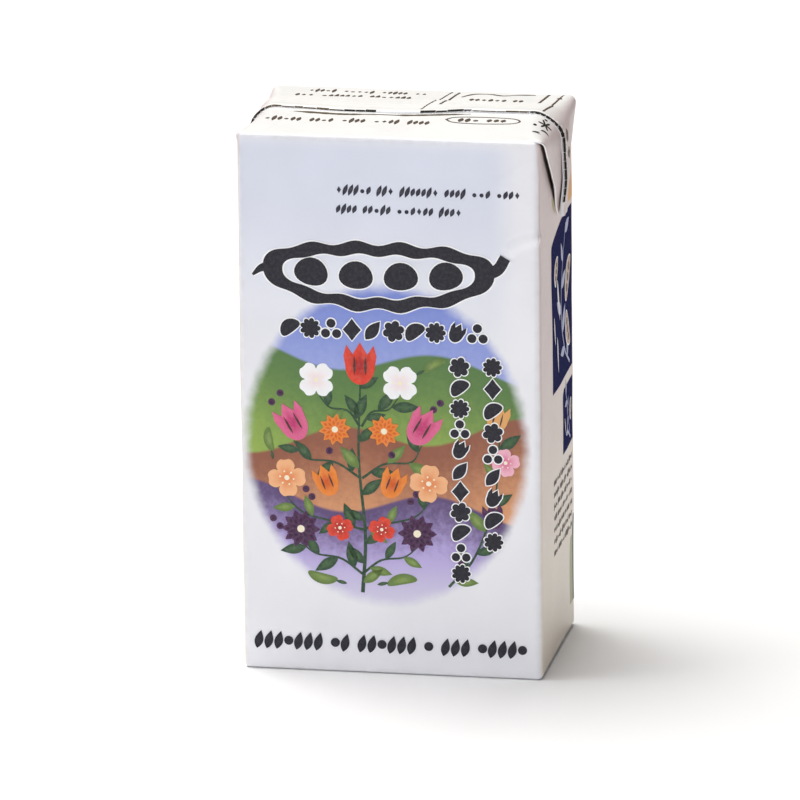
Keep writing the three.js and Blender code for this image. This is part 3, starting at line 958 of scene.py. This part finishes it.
INK_COLOURS = {
    "charcoal": ((38, 37, 46),), "slate": ((50, 48, 62),), "brown": ((74, 54, 48),), "umber": ((84, 70, 58),),
    "navy": ((46, 48, 90),), "soot": ((44, 41, 36),), "bark": ((88, 76, 56),), "sand": ((196, 164, 150),),
    "haze": ((112, 116, 170),), "sage": ((184, 184, 150),),
    "white": ((250, 250, 250), (250, 232, 236)), "rose": ((224, 104, 146), (196, 56, 112)),
    "blush": ((244, 184, 200), (226, 120, 158)), "peach": ((246, 184, 134), (234, 138, 82)),
    "scarlet": ((226, 70, 48), (176, 34, 34)), "orange": ((238, 138, 54), (216, 92, 30)),
    "plum": ((84, 44, 84), (48, 22, 52)), "leaf": ((50, 78, 54), (74, 104, 66)),
    "moss": ((102, 128, 64), (134, 156, 84)), "cream": ((250, 240, 212),), "amber": ((228, 168, 100),),
    "olive": ((184, 174, 112),), "pale_blue": ((188, 192, 222),),
}
EVEN = {"navy": dict(shine=0.0, mottle=0.015), "soot": dict(shine=0.05, mottle=0.02),
        "charcoal": dict(mottle=0.015), "haze": dict(shine=0.05), "pale_blue": dict(shine=0.05)}
INKS = {name: mix_ink(name, *colours, **EVEN.get(name, {})) for name, colours in INK_COLOURS.items()}
print("inks:", ", ".join(INKS))

# %% [markdown]
# ## A printer's ornament box
# The print is all ornament: discs, beans, lens leaves, diamonds, tulips, a star, rosettes and
# four-petalled blossoms. Each is a short function that returns an outline of about one unit in
# radius round the origin.
# Another function turns, sizes and places it, and can grow it a little for the white edge that is
# printed below a dark mark. Nothing here is a letter.


# %% Outlines
def angles(count):
    return np.linspace(0, 2 * math.pi, count, endpoint=False)


def polar(radius, turn):
    return np.stack([radius * np.cos(turn), radius * np.sin(turn)], axis=-1)


def disc(count=20):
    return polar(np.full(count, 1.0), angles(count))


def diamond():
    half = np.array([(0.8, 0), (0.36, 0.5), (0, 1), (-0.36, 0.5)])
    return np.vstack([half, -half])


def blossom(depth=0.44, count=64):
    """Four round petals, notched between them by depth and slightly at their ends."""
    turn = angles(count)
    wave = abs(np.cos(turn * 2))
    return polar(1 - depth * (1 - wave ** 0.6) - 0.09 * np.clip(wave - 0.9, 0, 1) * 10, turn)


def rosette(petals, depth=0.3, count=72):
    """A round flower of small petals, which are notched between them by depth."""
    turn = angles(count)
    return polar(1 - depth * (1 - abs(np.cos(turn * petals / 2)) ** 0.7), turn)


def star(count=60):
    """Six slim petals round a small middle."""
    turn = angles(count)
    return polar(0.26 + 0.74 * abs(np.cos(3 * turn)) ** 3, turn)


def bean(plump=0.56, curl=0.36, count=24):
    turn = angles(count)
    x, y = np.cos(turn), plump * np.sin(turn)
    return np.stack([x, y + curl * (0.5 - x * x)], axis=-1)


def lens(slim=0.36, count=11, blunt=0.85):
    """A leaf or petal between two points; a smaller blunt number moves its widest part backwards."""
    share = np.linspace(0, 1, count)
    half = slim * np.sin(math.pi * share ** blunt)
    upper = np.stack([2 * share - 1, half], axis=-1)
    return np.vstack([upper, upper[-2:0:-1] * (1, -1)])


def tulip():
    """A cup with three points."""
    cup = polar(1.0, np.linspace(math.pi, 2 * math.pi, 13)) * (0.72, 0.95)
    rim = np.array([(0.80, 0.45), (0.66, 0.98), (0.36, 0.52), (0, 1.12)])
    return np.vstack([cup, rim, rim[-2::-1] * (-1, 1)])


def put(outline, x, y, size=1.0, turn=0.0, stretch=1.0, grow=0.0, rise=0.0):
    """A filled flake: the outline sized, grown outwards if asked, turned by degrees and placed."""
    shape = np.asarray(outline, float) * (size, size * stretch)
    if grow:
        shape = shape + grow * shape / np.maximum(1e-6, np.linalg.norm(shape, axis=1, keepdims=True))
    cos, sin = math.cos(math.radians(turn)), math.sin(math.radians(turn))
    return filled(shape @ np.array([[cos, sin], [-sin, cos]]) + (x, y), np.array([x, y]), rise)


def away(x, y, reach, turn):
    """The place that lies this far from (x, y) in the direction of turn degrees."""
    return x + reach * math.cos(math.radians(turn)), y + reach * math.sin(math.radians(turn))


print("points in a blossom's outline:", len(blossom()))

# %% [markdown]
# ## The words that aren't there
# A pack carries a heading, a sub-heading, small lines and columns. On this one, ornaments of the
# same weight and scale stand in their places. The heading is a big pod with four beans. The small
# lines are rows of slanting grains with a few discs and diamonds, set in groups by a seeded random
# draw, so that every run of this script prints the same rows.

# %% Rows and columns of ornament
HALO, GRAIN_LEAN = 0.25, 68
HALO_LAYER, DARK_LAYER = 16, 18
GRAINS_BELOW, DISCS_BELOW = 0.66, 0.82
POD = dict(x=-2.0, z=85.5, half_length=24.0, half_height=7.6, weight=2.7, bend=1.4, bean_pitch=9.3)
SMALL_ROWS = ((-10.6, 26.6, 102.8, 2.9), (-10.6, 16.0, 98.8, 2.9))
SUB_ROW = dict(start=-20.6, end=18.4, z=73.5, size=2.15)
SUB_KINDS = ("bean", "sun", "trio", "diamond", "leaf", "rosette", "bean", "sun", "tulip", "trio")
COLUMNS = ((21.4, 66.6, 29.4, "sun diamond bean rosette trio leaf tulip bean sun"),
           (14.6, 66.4, 22.4, "rosette bean sun trio tulip leaf diamond rosette bean trio sun"))
FOOT_ROW = dict(start=-29.0, z=6.4, height=4.0, groups=(7, 2, 6, 1, 3, 5))
ORNAMENTS = {"bean": (bean(0.62, 0.26), 1.08, 38), "sun": (rosette(9, 0.26), 1.0, 0),
             "rosette": (rosette(6), 1.05, 15), "diamond": (diamond(), 1.1, 0),
             "tulip": (tulip(), 0.95, -26), "leaf": (lens(0.5), 1.15, 52)}


def small_row(draw, start, end, middle, height, weight, lean=GRAIN_LEAN):
    """A row of slanting grains, with a disc or a diamond now and then, in groups, from start to end."""
    flakes, at, left_in_group = [], start, draw.randint(3, 7)
    while at < end:
        kind, half = draw.random(), height * draw.choice((0.33, 0.33, 0.46))
        wide = weight * (0.55 if kind < GRAINS_BELOW else 0.8)
        at += wide
        if kind < GRAINS_BELOW:
            flakes.append(put(lens(0.66 * weight / half, 9, 1.0), at, middle, half, lean))
        elif kind < DISCS_BELOW:
            flakes.append(put(disc(12), at, middle - height * 0.06, weight * 0.62))
        else:
            flakes.append(put(diamond(), at, middle, weight * 0.8, stretch=1.3))
        at += wide + weight * 0.5
        left_in_group -= 1
        if not left_in_group:
            at += height * 0.36
            left_in_group = draw.randint(3, 7)
    return flakes


def ornament(kind, x, y, size, grow):
    """One mark of a row or column, grown for its white edge."""
    def mark(outline, dx, dy, share, turn=0.0):
        return put(outline, x + dx * size, y + dy * size, size * share, turn, grow=grow)

    if kind == "trio":
        return [mark(disc(), dx, dy, 0.44) for dx, dy in ((0, 0.56), (-0.54, -0.44), (0.54, -0.44))]
    outline, share, turn = ORNAMENTS[kind]
    return [mark(outline, 0, 0, share, turn)]


def pod_place(x, y):
    """Bends a place on the straight pod down at its middle, like a smile."""
    drop = POD["bend"] * (0.5 - (x / POD["half_length"]) ** 2)
    return np.stack([POD["x"] + x, POD["z"] + y - drop], axis=-1)


def heading_flakes(grow):
    """The pod as a closed stroke that swells over each bean, its stalk, its tip and its beans."""
    turn = angles(160)
    long, high = POD["half_length"], POD["half_height"]

    def edge(inset):
        x = np.cos(turn)
        swelling = 0.93 - 0.07 * np.cos(2 * math.pi * x * long / POD["bean_pitch"])
        y = np.sign(np.sin(turn)) * abs(np.sin(turn)) ** 0.8 * swelling
        return pod_place((long - 1.5 * inset) * x, (high - inset) * y)

    flakes = [stroke(edge(-grow), edge(POD["weight"] + grow), closed=True)]
    stalk = curve_through([(long - 2.4, 0), (long + 0.6, 0.9), (long + 2.2, 3.2)], 12)
    tip = curve_through([(2.4 - long, 0), (-long - 0.2, -0.4), (-long - 2.2, -2.2)], 12)
    for path, widths in ((stalk, np.linspace(2.6, 2.3, 12)), (tip, np.linspace(2.8, 0.5, 12))):
        flakes.append(line(pod_place(*path.T), widths + 2 * grow, rise=0.4))
    for place in (-1.5, -0.5, 0.5, 1.5):
        middle = pod_place(np.array(place * POD["bean_pitch"]), np.array(0.0))
        flakes.append(put(bean(0.82, 0.12), *middle, 3.55, turn=9 * place, grow=grow))
    return flakes


def foot_flakes(end):
    """The bold row near the base: slanting grains with a disc after every third, in groups."""
    marks, gaps = sum(FOOT_ROW["groups"]), 0.7 * (len(FOOT_ROW["groups"]) - 1)
    pitch = (end - FOOT_ROW["start"]) / (marks + gaps)
    flakes, at, number = [], FOOT_ROW["start"] + pitch / 2, 0
    for group in FOOT_ROW["groups"]:
        for _ in range(group):
            number += 1
            if number % 4:
                flakes.append(put(lens(0.45), at, FOOT_ROW["z"], FOOT_ROW["height"] / 2, turn=76))
            else:
                flakes.append(put(disc(), at, FOOT_ROW["z"], pitch * 0.46))
            at += pitch
        at += 0.7 * pitch
    return flakes


def word_places(place, prefix, seed, foot_end):
    """All ornament that stands where a pack has its words, on the front or the back."""
    draw = random.Random(seed)
    dark, halo = heading_flakes(0.0), heading_flakes(HALO)
    spots = [(kind, x, SUB_ROW["z"], SUB_ROW["size"])
             for kind, x in zip(SUB_KINDS, np.linspace(SUB_ROW["start"], SUB_ROW["end"], len(SUB_KINDS)))]
    for x, top, foot, kinds in COLUMNS:
        kinds = kinds.split()
        spots += [(kind, x, z, 2.0) for kind, z in zip(kinds, np.linspace(top, foot, len(kinds)))]
    for kind, x, z, size in spots:
        dark += ornament(kind, x, z, size, 0.0)
        halo += ornament(kind, x, z, size, HALO)
    fine = [flake for start, end, z, height in SMALL_ROWS
            for flake in small_row(draw, start, end, z, height, 0.7)]
    dark += foot_flakes(foot_end)
    print_ink(f"{prefix}_white_edges", INKS["white"], place, halo, layer=HALO_LAYER)
    print_ink(f"{prefix}_dark_marks", INKS["charcoal"], place, dark, layer=DARK_LAYER)
    print_ink(f"{prefix}_small_rows", INKS["slate"], place, fine)


# %% [markdown]
# ## The flowering tree in the oval
# The oval holds a tree of simple flowers: a trunk and four pairs of branches with a flower at the
# end of each, more pairs beside the trunk, and single flowers, pods and berries. The flowers are
# four-petalled blossoms, tulips, and daisies of ten petals in two rings. Branches and pairs are
# listed for the left side alone. The right side is their mirror, drawn in a little, because the
# columns stand there. The stems are smooth curves through a few chosen points, and leaves grow on
# both sides of a stem by a rule. Neighbours in the list of flowers differ in their rise, so where
# two of them touch, one lies plainly over the other.

# %% Stems, leaves and flowers
TRUNK = ((-6, 17.5), (-5.3, 30), (-6.5, 46), (-6, 62.5))
BRANCHES = (
    ((-6.0, 21.5), (-10.4, 24.6), (-15.6, 25.4), (-18.8, 27.6)),
    ((-5.6, 31.0), (-11.6, 32.4), (-18.4, 34.2), (-22.2, 38.0)),
    ((-6.2, 42.0), (-11.4, 45.2), (-17.6, 45.8), (-20.0, 49.4)),
    ((-6.2, 53.0), (-8.6, 56.2), (-12.4, 56.8), (-14.6, 59.2)),
)
RIM_STEM = ((12.0, 19.4), (17.4, 26.0), (21.6, 38.0), (22.8, 52.0))
PAIRS = (
    ("blossom", "white", 9.2, 62.6, 4.1, 45), ("tulip", "rose", 14.2, 53.2, 4.1, 30),
    ("daisy", "orange", 5.4, 52.2, 3.3, 9), ("blossom", "peach", 15.6, 41.4, 4.2, 6),
    ("tulip", "orange", 7.2, 41.0, 3.3, 20), ("daisy", "plum", 12.8, 30.6, 4.0, 0),
    ("blossom", "scarlet", 4.6, 31.2, 2.9, 20),
)
SINGLES = (
    ("tulip", "scarlet", -6.0, 66.0, 4.3, 0), ("tulip", "amber", 22.4, 55.6, 3.0, -14),
    ("blossom", "blush", 24.0, 46.4, 3.1, 10), ("tulip", "plum", 21.4, 34.8, 2.7, 12),
)
PODS = ((-14.4, 20.4, 3.2, 168), (2.2, 20.4, 3.2, 12), (-25.2, 49.4, 2.6, 100), (9.4, 66.6, 2.6, 30))
BERRIES = ((-16.4, 37.6), (-17.6, 39.2), (-12.6, 47.6), (0.4, 47.2), (-24.6, 57.4),
           (-22.8, 59.4), (4.2, 37.4), (5.4, 39.0), (10.6, 58.6), (9.2, 57.2),
           (-24.6, 32.6), (-23.2, 31.0), (14.6, 24.4))
MIDDLE = TRUNK[0][0]
SIDE_SHARES = {-1: 1.0, 1: 0.9}
FLOWERS = [(kind, ink, MIDDLE + side * share * reach, z, size, -side * turn)
           for kind, ink, reach, z, size, turn in PAIRS for side, share in SIDE_SHARES.items()]
FLOWERS += SINGLES
STEMS = [(TRUNK, 0.62), (RIM_STEM, 0.45)]
STEMS += [([(MIDDLE + side * share * (MIDDLE - x), z) for x, z in corners], 0.42)
          for corners in BRANCHES for side, share in SIDE_SHARES.items()]


LEAF_SPREAD = 48


def leaves_along(path, draw, every=4, size=2.5):
    """Leaves on alternate sides of a stem, each pointing forwards and outwards."""
    leaves = []
    for number, index in enumerate(range(2, len(path) - 1, every)):
        way = path[index + 1] - path[index]
        spread = LEAF_SPREAD if number % 2 else -LEAF_SPREAD
        heading = math.degrees(math.atan2(way[1], way[0])) + spread + draw.uniform(-10, 10)
        long = size * draw.uniform(0.85, 1.2)
        dark = draw.random() < 0.7
        leaves.append((dark, put(lens(0.4), *away(*path[index], long, heading), long, heading)))
    return leaves


def flower_parts(kind, x, z, size, turn, rise):
    """The flakes of one flower: (where they are printed, flake); "own" is the flower's ink."""
    if kind == "tulip":
        spots = [away(x, z, side * size * 0.27, turn) for side in (-1, 1)]
        veins = [("brown", put(lens(0.12), *spot, size * 0.5, turn + 90, rise=rise + 0.5)) for spot in spots]
        return [("own", put(tulip(), x, z, size, turn, rise=rise)), *veins]
    spots = [away(x, z, size * 0.34, turn + 45 + 60 * step) for step in range(6)]
    dots = [("cream", put(disc(8), *spot, size * 0.05, rise=rise + 1.5)) for spot in spots]
    if kind == "blossom":
        return [("own", put(blossom(), x, z, size, turn, rise=rise)), *dots,
                ("cream", put(disc(12), x, z, size * 0.13, rise=rise + 1.5))]
    parts = []
    for number, reach, long, up in ((10, 0.60, 0.42, 0.0), (10, 0.42, 0.36, 0.7)):
        for step in range(number):
            heading = turn + (step + (up > 0) / 2) * 360 / number
            spot, over = away(x, z, reach * size, heading), rise + up + (step % 2) * 0.3
            petal = put(lens(0.44, 9, 1.15), *spot, long * size, heading, rise=over)
            parts.append(("own", petal))
    return [*parts, ("cream", put(disc(14), x, z, size * 0.2, rise=rise + 1.5))]


def flowering_tree(place, prefix, seed):
    """Prints the stems, leaves, pods and flowers, each ink as one piece."""
    draw = random.Random(seed)
    sheets = {"leaf": [], "moss": [], "cream": [], "brown": [], "plum": []}
    for corners, weight in STEMS:
        path = curve_through(corners, 8 + round(math.dist(corners[0], corners[-1]) / 1.6))
        sheets["leaf"].append(line(path, np.linspace(weight * 1.3, weight * 0.6, len(path))))
        for dark, leaf in leaves_along(path, draw):
            sheets["leaf" if dark else "moss"].append(leaf[:-1] + (1.0 if dark else 1.6,))
    for x, z, size, turn in PODS:
        sheets["moss"].append(put(bean(0.36, 0.2), x, z, size, turn, rise=2.8))
        sheets["leaf"].append(put(lens(0.3), *away(x, z, -size * 1.25, turn), size * 0.4, turn, rise=3.2))
    for x, z in BERRIES:
        sheets["plum"].append(put(disc(14), x, z, 0.75, rise=3.6))
    for number, (kind, ink, x, z, size, turn) in enumerate(FLOWERS):
        for sheet, flake in flower_parts(kind, x, z, size, turn, 4 + 1.5 * (number % 6)):
            sheets.setdefault(ink if sheet == "own" else sheet, []).append(flake)
    for ink, flakes in sheets.items():
        print_ink(f"{prefix}_{ink}", INKS[ink], place, flakes)


for place, prefix, seed, foot_end in ((on_mantle, "front", 11, 28.2), (on_back, "back", 23, 26.2)):
    flowering_tree(place, prefix, seed)
    word_places(place, prefix, seed, foot_end)

# %% [markdown]
# ## The sides
# Each side carries deep blue fields with pale sprigs and pods, and below them narrow rows of small
# marks. A field is a closed grid between a left and a right edge, so its corner can be cut away.
# It reaches round the back fold a little way, as print does on a real sheet, because the sheet
# is printed flat before it is folded. Both sides use one function; the left one is its mirror.


# %% Print the sides
def field(low, high, left, right, cut_across, cut_down, step=1.0, columns=20):
    """A filled field whose upper left corner is cut off in a soft bow."""
    points, heights = [], np.linspace(low, high, round((high - low) / step) + 1)
    for z in heights:
        start = left + cut_across * max(0.0, (z - high + cut_down) / cut_down) ** 1.6
        points += [(start + (right - start) * share, z) for share in np.linspace(0, 1, columns)]
    index = np.arange(len(points)).reshape(len(heights), columns)
    rim = [*index[0, :-1], *index[:-1, -1], *index[-1, :0:-1], *index[:0:-1, 0]]
    faces = [tuple(face) for face in quads(len(heights), columns)]
    return np.array(points), faces, [[int(corner) for corner in rim]], np.zeros(len(points)), 0.0


SPRIGS = ((((35, 58.6), (28, 63.5), (24.5, 71), (25.5, 80), (31, 89.4)), 2.9),
          (((35, 42.4), (30.5, 45.5), (32, 49.5), (29, 53.4)), 1.5))
SIDE_PODS = ((32.6, 77.4, 4.9, 52), (32.2, 66.4, 4.5, 122), (18.4, 82.2, 2.9, 66), (35.4, 48.4, 2.0, 80))
SIDE_BLADES = ((21.2, 75.4, 4.9, -72), (19.6, 64.2, 3.9, -84), (16.2, 70.0, 3.2, -78), (28.0, 46.6, 1.9, -70))
BLUE_FIELDS = ((57.2, 91.6, 13.3, 38.6, 12, 3.4), (41.2, 54.8, 25.3, 38.6, 1.6, 1.4))
GREEN_FOOT, OLIVE_FOOT = (6, 24.5, 37.9, 43.5, 0.6, 2.0), (6, 20.5, 34.6, 37.9, 0.8, 2.0)
AMBER_EDGE = (92.8, 105.0, 34.2, 43.0, 1.2, 4.0)
SIDE_ROWS = dict(top=38.0, foot=23.0, count=7, start=14.2, end=36.6, height=1.9, weight=0.52)


def sprig_sheets(draw):
    """Two leafy sprigs with open pods and loose blades, sorted by ink."""
    sheets = {"pale_blue": [], "haze": [], "white": [], "sand": [], "umber": []}
    for corners, size in SPRIGS:
        path = curve_through(corners, 22)
        sheets["pale_blue"].append(line(path, np.linspace(0.62, 0.3, len(path))))
        for pale, leaf in leaves_along(path, draw, every=3, size=size):
            sheets["pale_blue" if pale else "haze"].append(leaf[:-1] + (1.0 if pale else 2.0,))
    for across, z, size, turn in SIDE_PODS:
        sheets["white"].append(put(bean(0.42, 0.2), across, z, size, turn, grow=0.4, rise=3.0))
        sheets["sand"].append(put(bean(0.42, 0.2), across, z, size, turn, rise=4.5))
        spots = [away(across, z, step * size, turn) for step in (-0.5, 0.0, 0.5)]
        sheets["umber"] += [put(disc(12), *spot, size * 0.19, rise=6.0) for spot in spots]
    for across, z, size, turn in SIDE_BLADES:
        sheets["white"].append(put(lens(0.13), across, z, size, turn, rise=3.0))
    return sheets


def side_print(prefix, side, seed):
    """Two blue fields with sprigs, narrow rows, a green foot and amber edges on one side."""
    draw = random.Random(seed)

    def place(across, z, lift):
        return on_mantle(side * (HALF_WIDTH + across), z, lift)

    blue = [field(*edges) for edges in BLUE_FIELDS]
    print_ink(f"{prefix}_blue_fields", INKS["navy"], place, blue)
    for ink, flakes in sprig_sheets(draw).items():
        print_ink(f"{prefix}_sprig_{ink}", INKS[ink], place, flakes, layer=2)
    rows = []
    for z in np.linspace(SIDE_ROWS["top"], SIDE_ROWS["foot"], SIDE_ROWS["count"]):
        rows += small_row(draw, SIDE_ROWS["start"], SIDE_ROWS["end"], z,
                          SIDE_ROWS["height"], SIDE_ROWS["weight"])
    print_ink(f"{prefix}_side_rows", INKS["brown"], place, rows)
    print_ink(f"{prefix}_green_foot", INKS["leaf"], place, [field(*GREEN_FOOT)])
    print_ink(f"{prefix}_olive_foot", INKS["sage"], place, [field(*OLIVE_FOOT)])
    leaf = put(lens(0.2), 15.8, HEIGHT - 17.2, 2.9, turn=-45)
    print_ink(f"{prefix}_olive_leaf", INKS["olive"], place, [leaf])
    print_ink(f"{prefix}_amber_edge", INKS["amber"], place, [field(*AMBER_EDGE)])


side_print("right", 1, 31)
side_print("left", -1, 47)

# %% [markdown]
# ## The top
# A dashed line along the seal shows where to cut, rows of marks stand in front of it and behind
# it, and a few rules and a frame divide the back half. The dashed line runs over the shoulders
# and down both ears, so it is drawn in the seal's own coordinates, along its rolled root. Because
# the roll is narrow, a dash is made of fine strands side by side, and more of them further down.

# %% Print the top
SEAL_END = SEAL_STRAIGHT + LINE_END
CUT_LINE, STRAND = -0.5, 0.13
CUT_PAUSE = (-4.6, 4.0)
DARK_RUNS = {"right": -1.5, "left": 2.5}
# A painted shadow: the dark line of bark ink where the gap in front of the seal's root lies in shade.
ROOT_SHADOW_STROKE = dict(start=-22.5, end=14.0, weight=1.05, thin=(-9.0, -0.6))
TOP_LEAN = 86
FRONT_ROWS = ((-28.6, 8.0, -9.4, 4.3, 0.74), (12.2, 21.6, -6.2, 3.2, 0.9))
BACK_ROWS = ((-25, -1, 11.2, 3.8, 0.72), (-23, 1, 15.8, 3.8, 0.66), (11.4, 22.6, 11.6, 3.2, 0.75))
MARK_FRAME = ((9.6, -6.2), (11.5, -4.3), (17, -3.8), (23, -4.3), (24.9, -6.2),
              (23, -8.1), (17, -8.6), (11.5, -8.1), (9.6, -6.2))
WAVY_RULE = ((9.4, 13.6), (11.4, 16.8), (14.6, 17.3), (17.6, 16.4), (20.6, 17.9), (24.0, 18.4))


def straight(x, y, x2, y2, weight):
    return line(np.linspace((x, y), (x2, y2), 14), weight)


def rows_on_top(draw, rows):
    """Rows of nearly upright grains, each given by its start, end, middle, height and weight."""
    return [flake for row in rows for flake in small_row(draw, *row, lean=TOP_LEAN)]


def front_of_top(draw):
    """A row of marks and a long frame with marks in it."""
    return [*rows_on_top(draw, FRONT_ROWS), line(curve_through(MARK_FRAME, 60), 0.42)]


def painted_root_shadow():
    """A painted shadow: a dark ink line where the gap in front of the seal's root lies in shade, thin in its
    middle and at both ends.
    """
    x = np.linspace(ROOT_SHADOW_STROKE["start"], ROOT_SHADOW_STROKE["end"], 80)
    share, (thin, thick) = np.linspace(0, 1, 80), ROOT_SHADOW_STROKE["thin"]
    body = 1 - 0.6 * rising(thin - 1.5, thin + 1.5, x) * (1 - rising(thick - 1.5, thick + 1.5, x))
    weight = ROOT_SHADOW_STROKE["weight"] * rising(-0.02, 0.1, share) * (1 - rising(0.86, 1.02, share)) * body
    weight = weight * (1 + 0.12 * np.sin(1.9 * x) + 0.08 * np.sin(4.3 * x))
    y = SEAL_ROOT - root_bow(x) - 1.1 - 0.7 * (1 - rising(-14, -4, x))
    return [line(np.stack([x, y], axis=-1), weight + 0.12)]


def back_of_top(draw):
    """Rows of marks and a frame with a wavy rule and marks in it."""
    flakes = rows_on_top(draw, BACK_ROWS)
    flakes.append(line(curve_through(WAVY_RULE, 50), 0.42 + 0.3 * np.sin(np.linspace(0, 9, 50)) ** 2))
    flakes += [straight(5.0, 8.2, 6.6, 18.6, 0.34), straight(7.0, 8.2, 8.2, 18.2, 0.5)]
    return flakes


def cut_flakes(draw):
    """The cutting line's dark and paler dashes from ear tip to ear tip, and its stitches on the ears."""
    dark, pale, stitches, at = [], [], [], 1.8 - SEAL_END
    while at < SEAL_END - 3.0:
        run, length = abs(at) - SEAL_STRAIGHT, draw.uniform(1.2, 3.4)
        near_pause = min(abs(at - pause) for pause in CUT_PAUSE) < 9
        more_below = round(2 * max(0.0, min(1.0, (run + 1) / 8)))
        strands = draw.choice((2, 2, 3) if near_pause else (1, 1, 2)) + more_below
        dark_from = DARK_RUNS["right" if at > 0 else "left"]
        if not CUT_PAUSE[0] < at + length / 2 < CUT_PAUSE[1]:
            dashes = dark if near_pause or run > dark_from else pale
            for strand in range(strands):
                y = CUT_LINE + STRAND * strand
                dashes.append(line(np.linspace((at, y), (at + length, y), 6), STRAND * 1.1))
        if 1 < run < 12:
            spots = np.arange(at + 0.3, at + length, 0.8)
            stitches += [put(disc(8), spot, CUT_LINE + STRAND * strands + 0.26, 0.2) for spot in spots]
        at += length + 0.08
    return dark, pale, stitches


def ear_flakes():
    """A star, two dots and two curls in front of the seal; they are long from front to back."""
    dots = [put(disc(10), 0.9, -7.6, 0.36, stretch=1.8), put(disc(10), 2.5, -1.7, 0.3, stretch=1.6)]
    curls = [put(bean(0.4, 0.62), run, y, 0.8, turn=turn, stretch=1.7)
             for run, y, turn in ((1.3, -13.0, 90), (2.8, -9.9, 0))]
    return [put(star(), 2.7, -5.0, 1.35, stretch=2.2), *dots, *curls]


def seal_flakes():
    """Three rules that cross the seal and two lozenges on its right end."""
    rules = [straight(3.5, 0.6, 4.8, 7.2, 0.3), straight(6.5, 4.4, 6.9, 7.2, 0.5),
             straight(28.2, 0.8, 28.6, 7.2, 0.3)]
    return rules + [put(lens(0.36, 9, 1.0), SEAL_STRAIGHT + run, y, size, stretch=3.0)
                    for run, y, size in ((6.9, 3.1, 1.2), (10.6, 4.4, 1.3))]


def top_print():
    """Everything printed on the top panel, the seal and the right ear."""
    draw = random.Random(5)
    print_ink("top_front_marks", INKS["umber"], on_top, front_of_top(draw))
    print_ink("top_back_marks", INKS["umber"], on_top, back_of_top(draw))
    # Painted shadow of the gap in front of the seal's root, printed in bark ink.
    print_ink("seal_root_painted_shadow", INKS["bark"], on_top, painted_root_shadow())
    rules = [straight(25.8, 8.2, 26.8, 19.2, 0.55), straight(28.7, 8.2, 29.8, 19.6, 0.34),
             put(disc(10), 29.4, 15.6, 0.5)]
    print_ink("shoulder_rules", INKS["umber"], on_right_shoulder, rules)
    print_ink("seal_rules", INKS["umber"], on_seal, seal_flakes())
    dark, pale, stitches = cut_flakes(draw)
    print_ink("cut_line", INKS["soot"], on_seal, dark)
    print_ink("cut_line_pale", INKS["bark"], on_seal, pale)
    print_ink("cut_line_stitches", INKS["white"], on_seal, stitches, layer=2)
    print_ink("ear_marks", INKS["soot"], on_right_ear, ear_flakes())


top_print()
print("faces in all pieces:", sum(made_faces))

# %% [markdown]
# ## Floor and studio light
# The carton stands on a white sweep in soft light. A large softbox above makes the top nearly
# white, a cooler one lights the front, and a weak, warm one stands off the right side, which turns
# away from the others. The floor is a wide white sheet with the faintest grain. The view transform
# is set to Standard, because white board on a white floor should reach white.

# %% Floor, world and lights
FLOOR_HALF = 3000
floor_finish = Finish("studio_floor", Roughness=0.7)
floor_white = floor_finish.mix(floor_finish.grain(60.0), display(244, 244, 245), display(248, 248, 249))
floor_finish.feed(floor_finish.shader.inputs["Base Color"], floor_white)
floor_shape = bmesh.new()
bmesh.ops.create_grid(floor_shape, x_segments=8, y_segments=8, size=FLOOR_HALF * MM)
floor_mesh = bpy.data.meshes.new("floor")
floor_shape.to_mesh(floor_mesh)
floor_shape.free()
floor_mesh.materials.append(floor_finish.material)
floor = bpy.data.objects.new("floor", floor_mesh)
bpy.context.scene.collection.objects.link(floor)


def softbox(name, place, aim, size, power, colour):
    """A square area light at a place in mm, turned towards another."""
    lamp = bpy.data.lights.new(name, "AREA")
    lamp.shape, lamp.size, lamp.energy, lamp.color = "SQUARE", size * MM, power, colour
    holder = bpy.data.objects.new(name, lamp)
    bpy.context.scene.collection.objects.link(holder)
    holder.location = Vector(place) * MM
    holder.rotation_euler = (Vector(aim) - Vector(place)).to_track_quat("-Z", "Y").to_euler()


softbox("softbox_above", (-800, 400, 3000), (0, 400, 0), 2400, 142.0, (1.0, 0.985, 0.96))
softbox("softbox_front", (-300, -2600, 300), (0, 0, 60), 1200, 28.4, (0.88, 0.908, 0.968))
softbox("softbox_side", (2500, -500, 260), (0, 0, 40), 1200, 6.0, (1.0, 0.95, 0.88))
world = bpy.data.worlds.new("studio")
world.use_nodes = True
world.node_tree.nodes["Background"].inputs["Color"].default_value = (1.0, 0.985, 0.97, 1.0)
world.node_tree.nodes["Background"].inputs["Strength"].default_value = 0.05
bpy.context.scene.world = world
bpy.context.scene.view_settings.view_transform = "Standard"
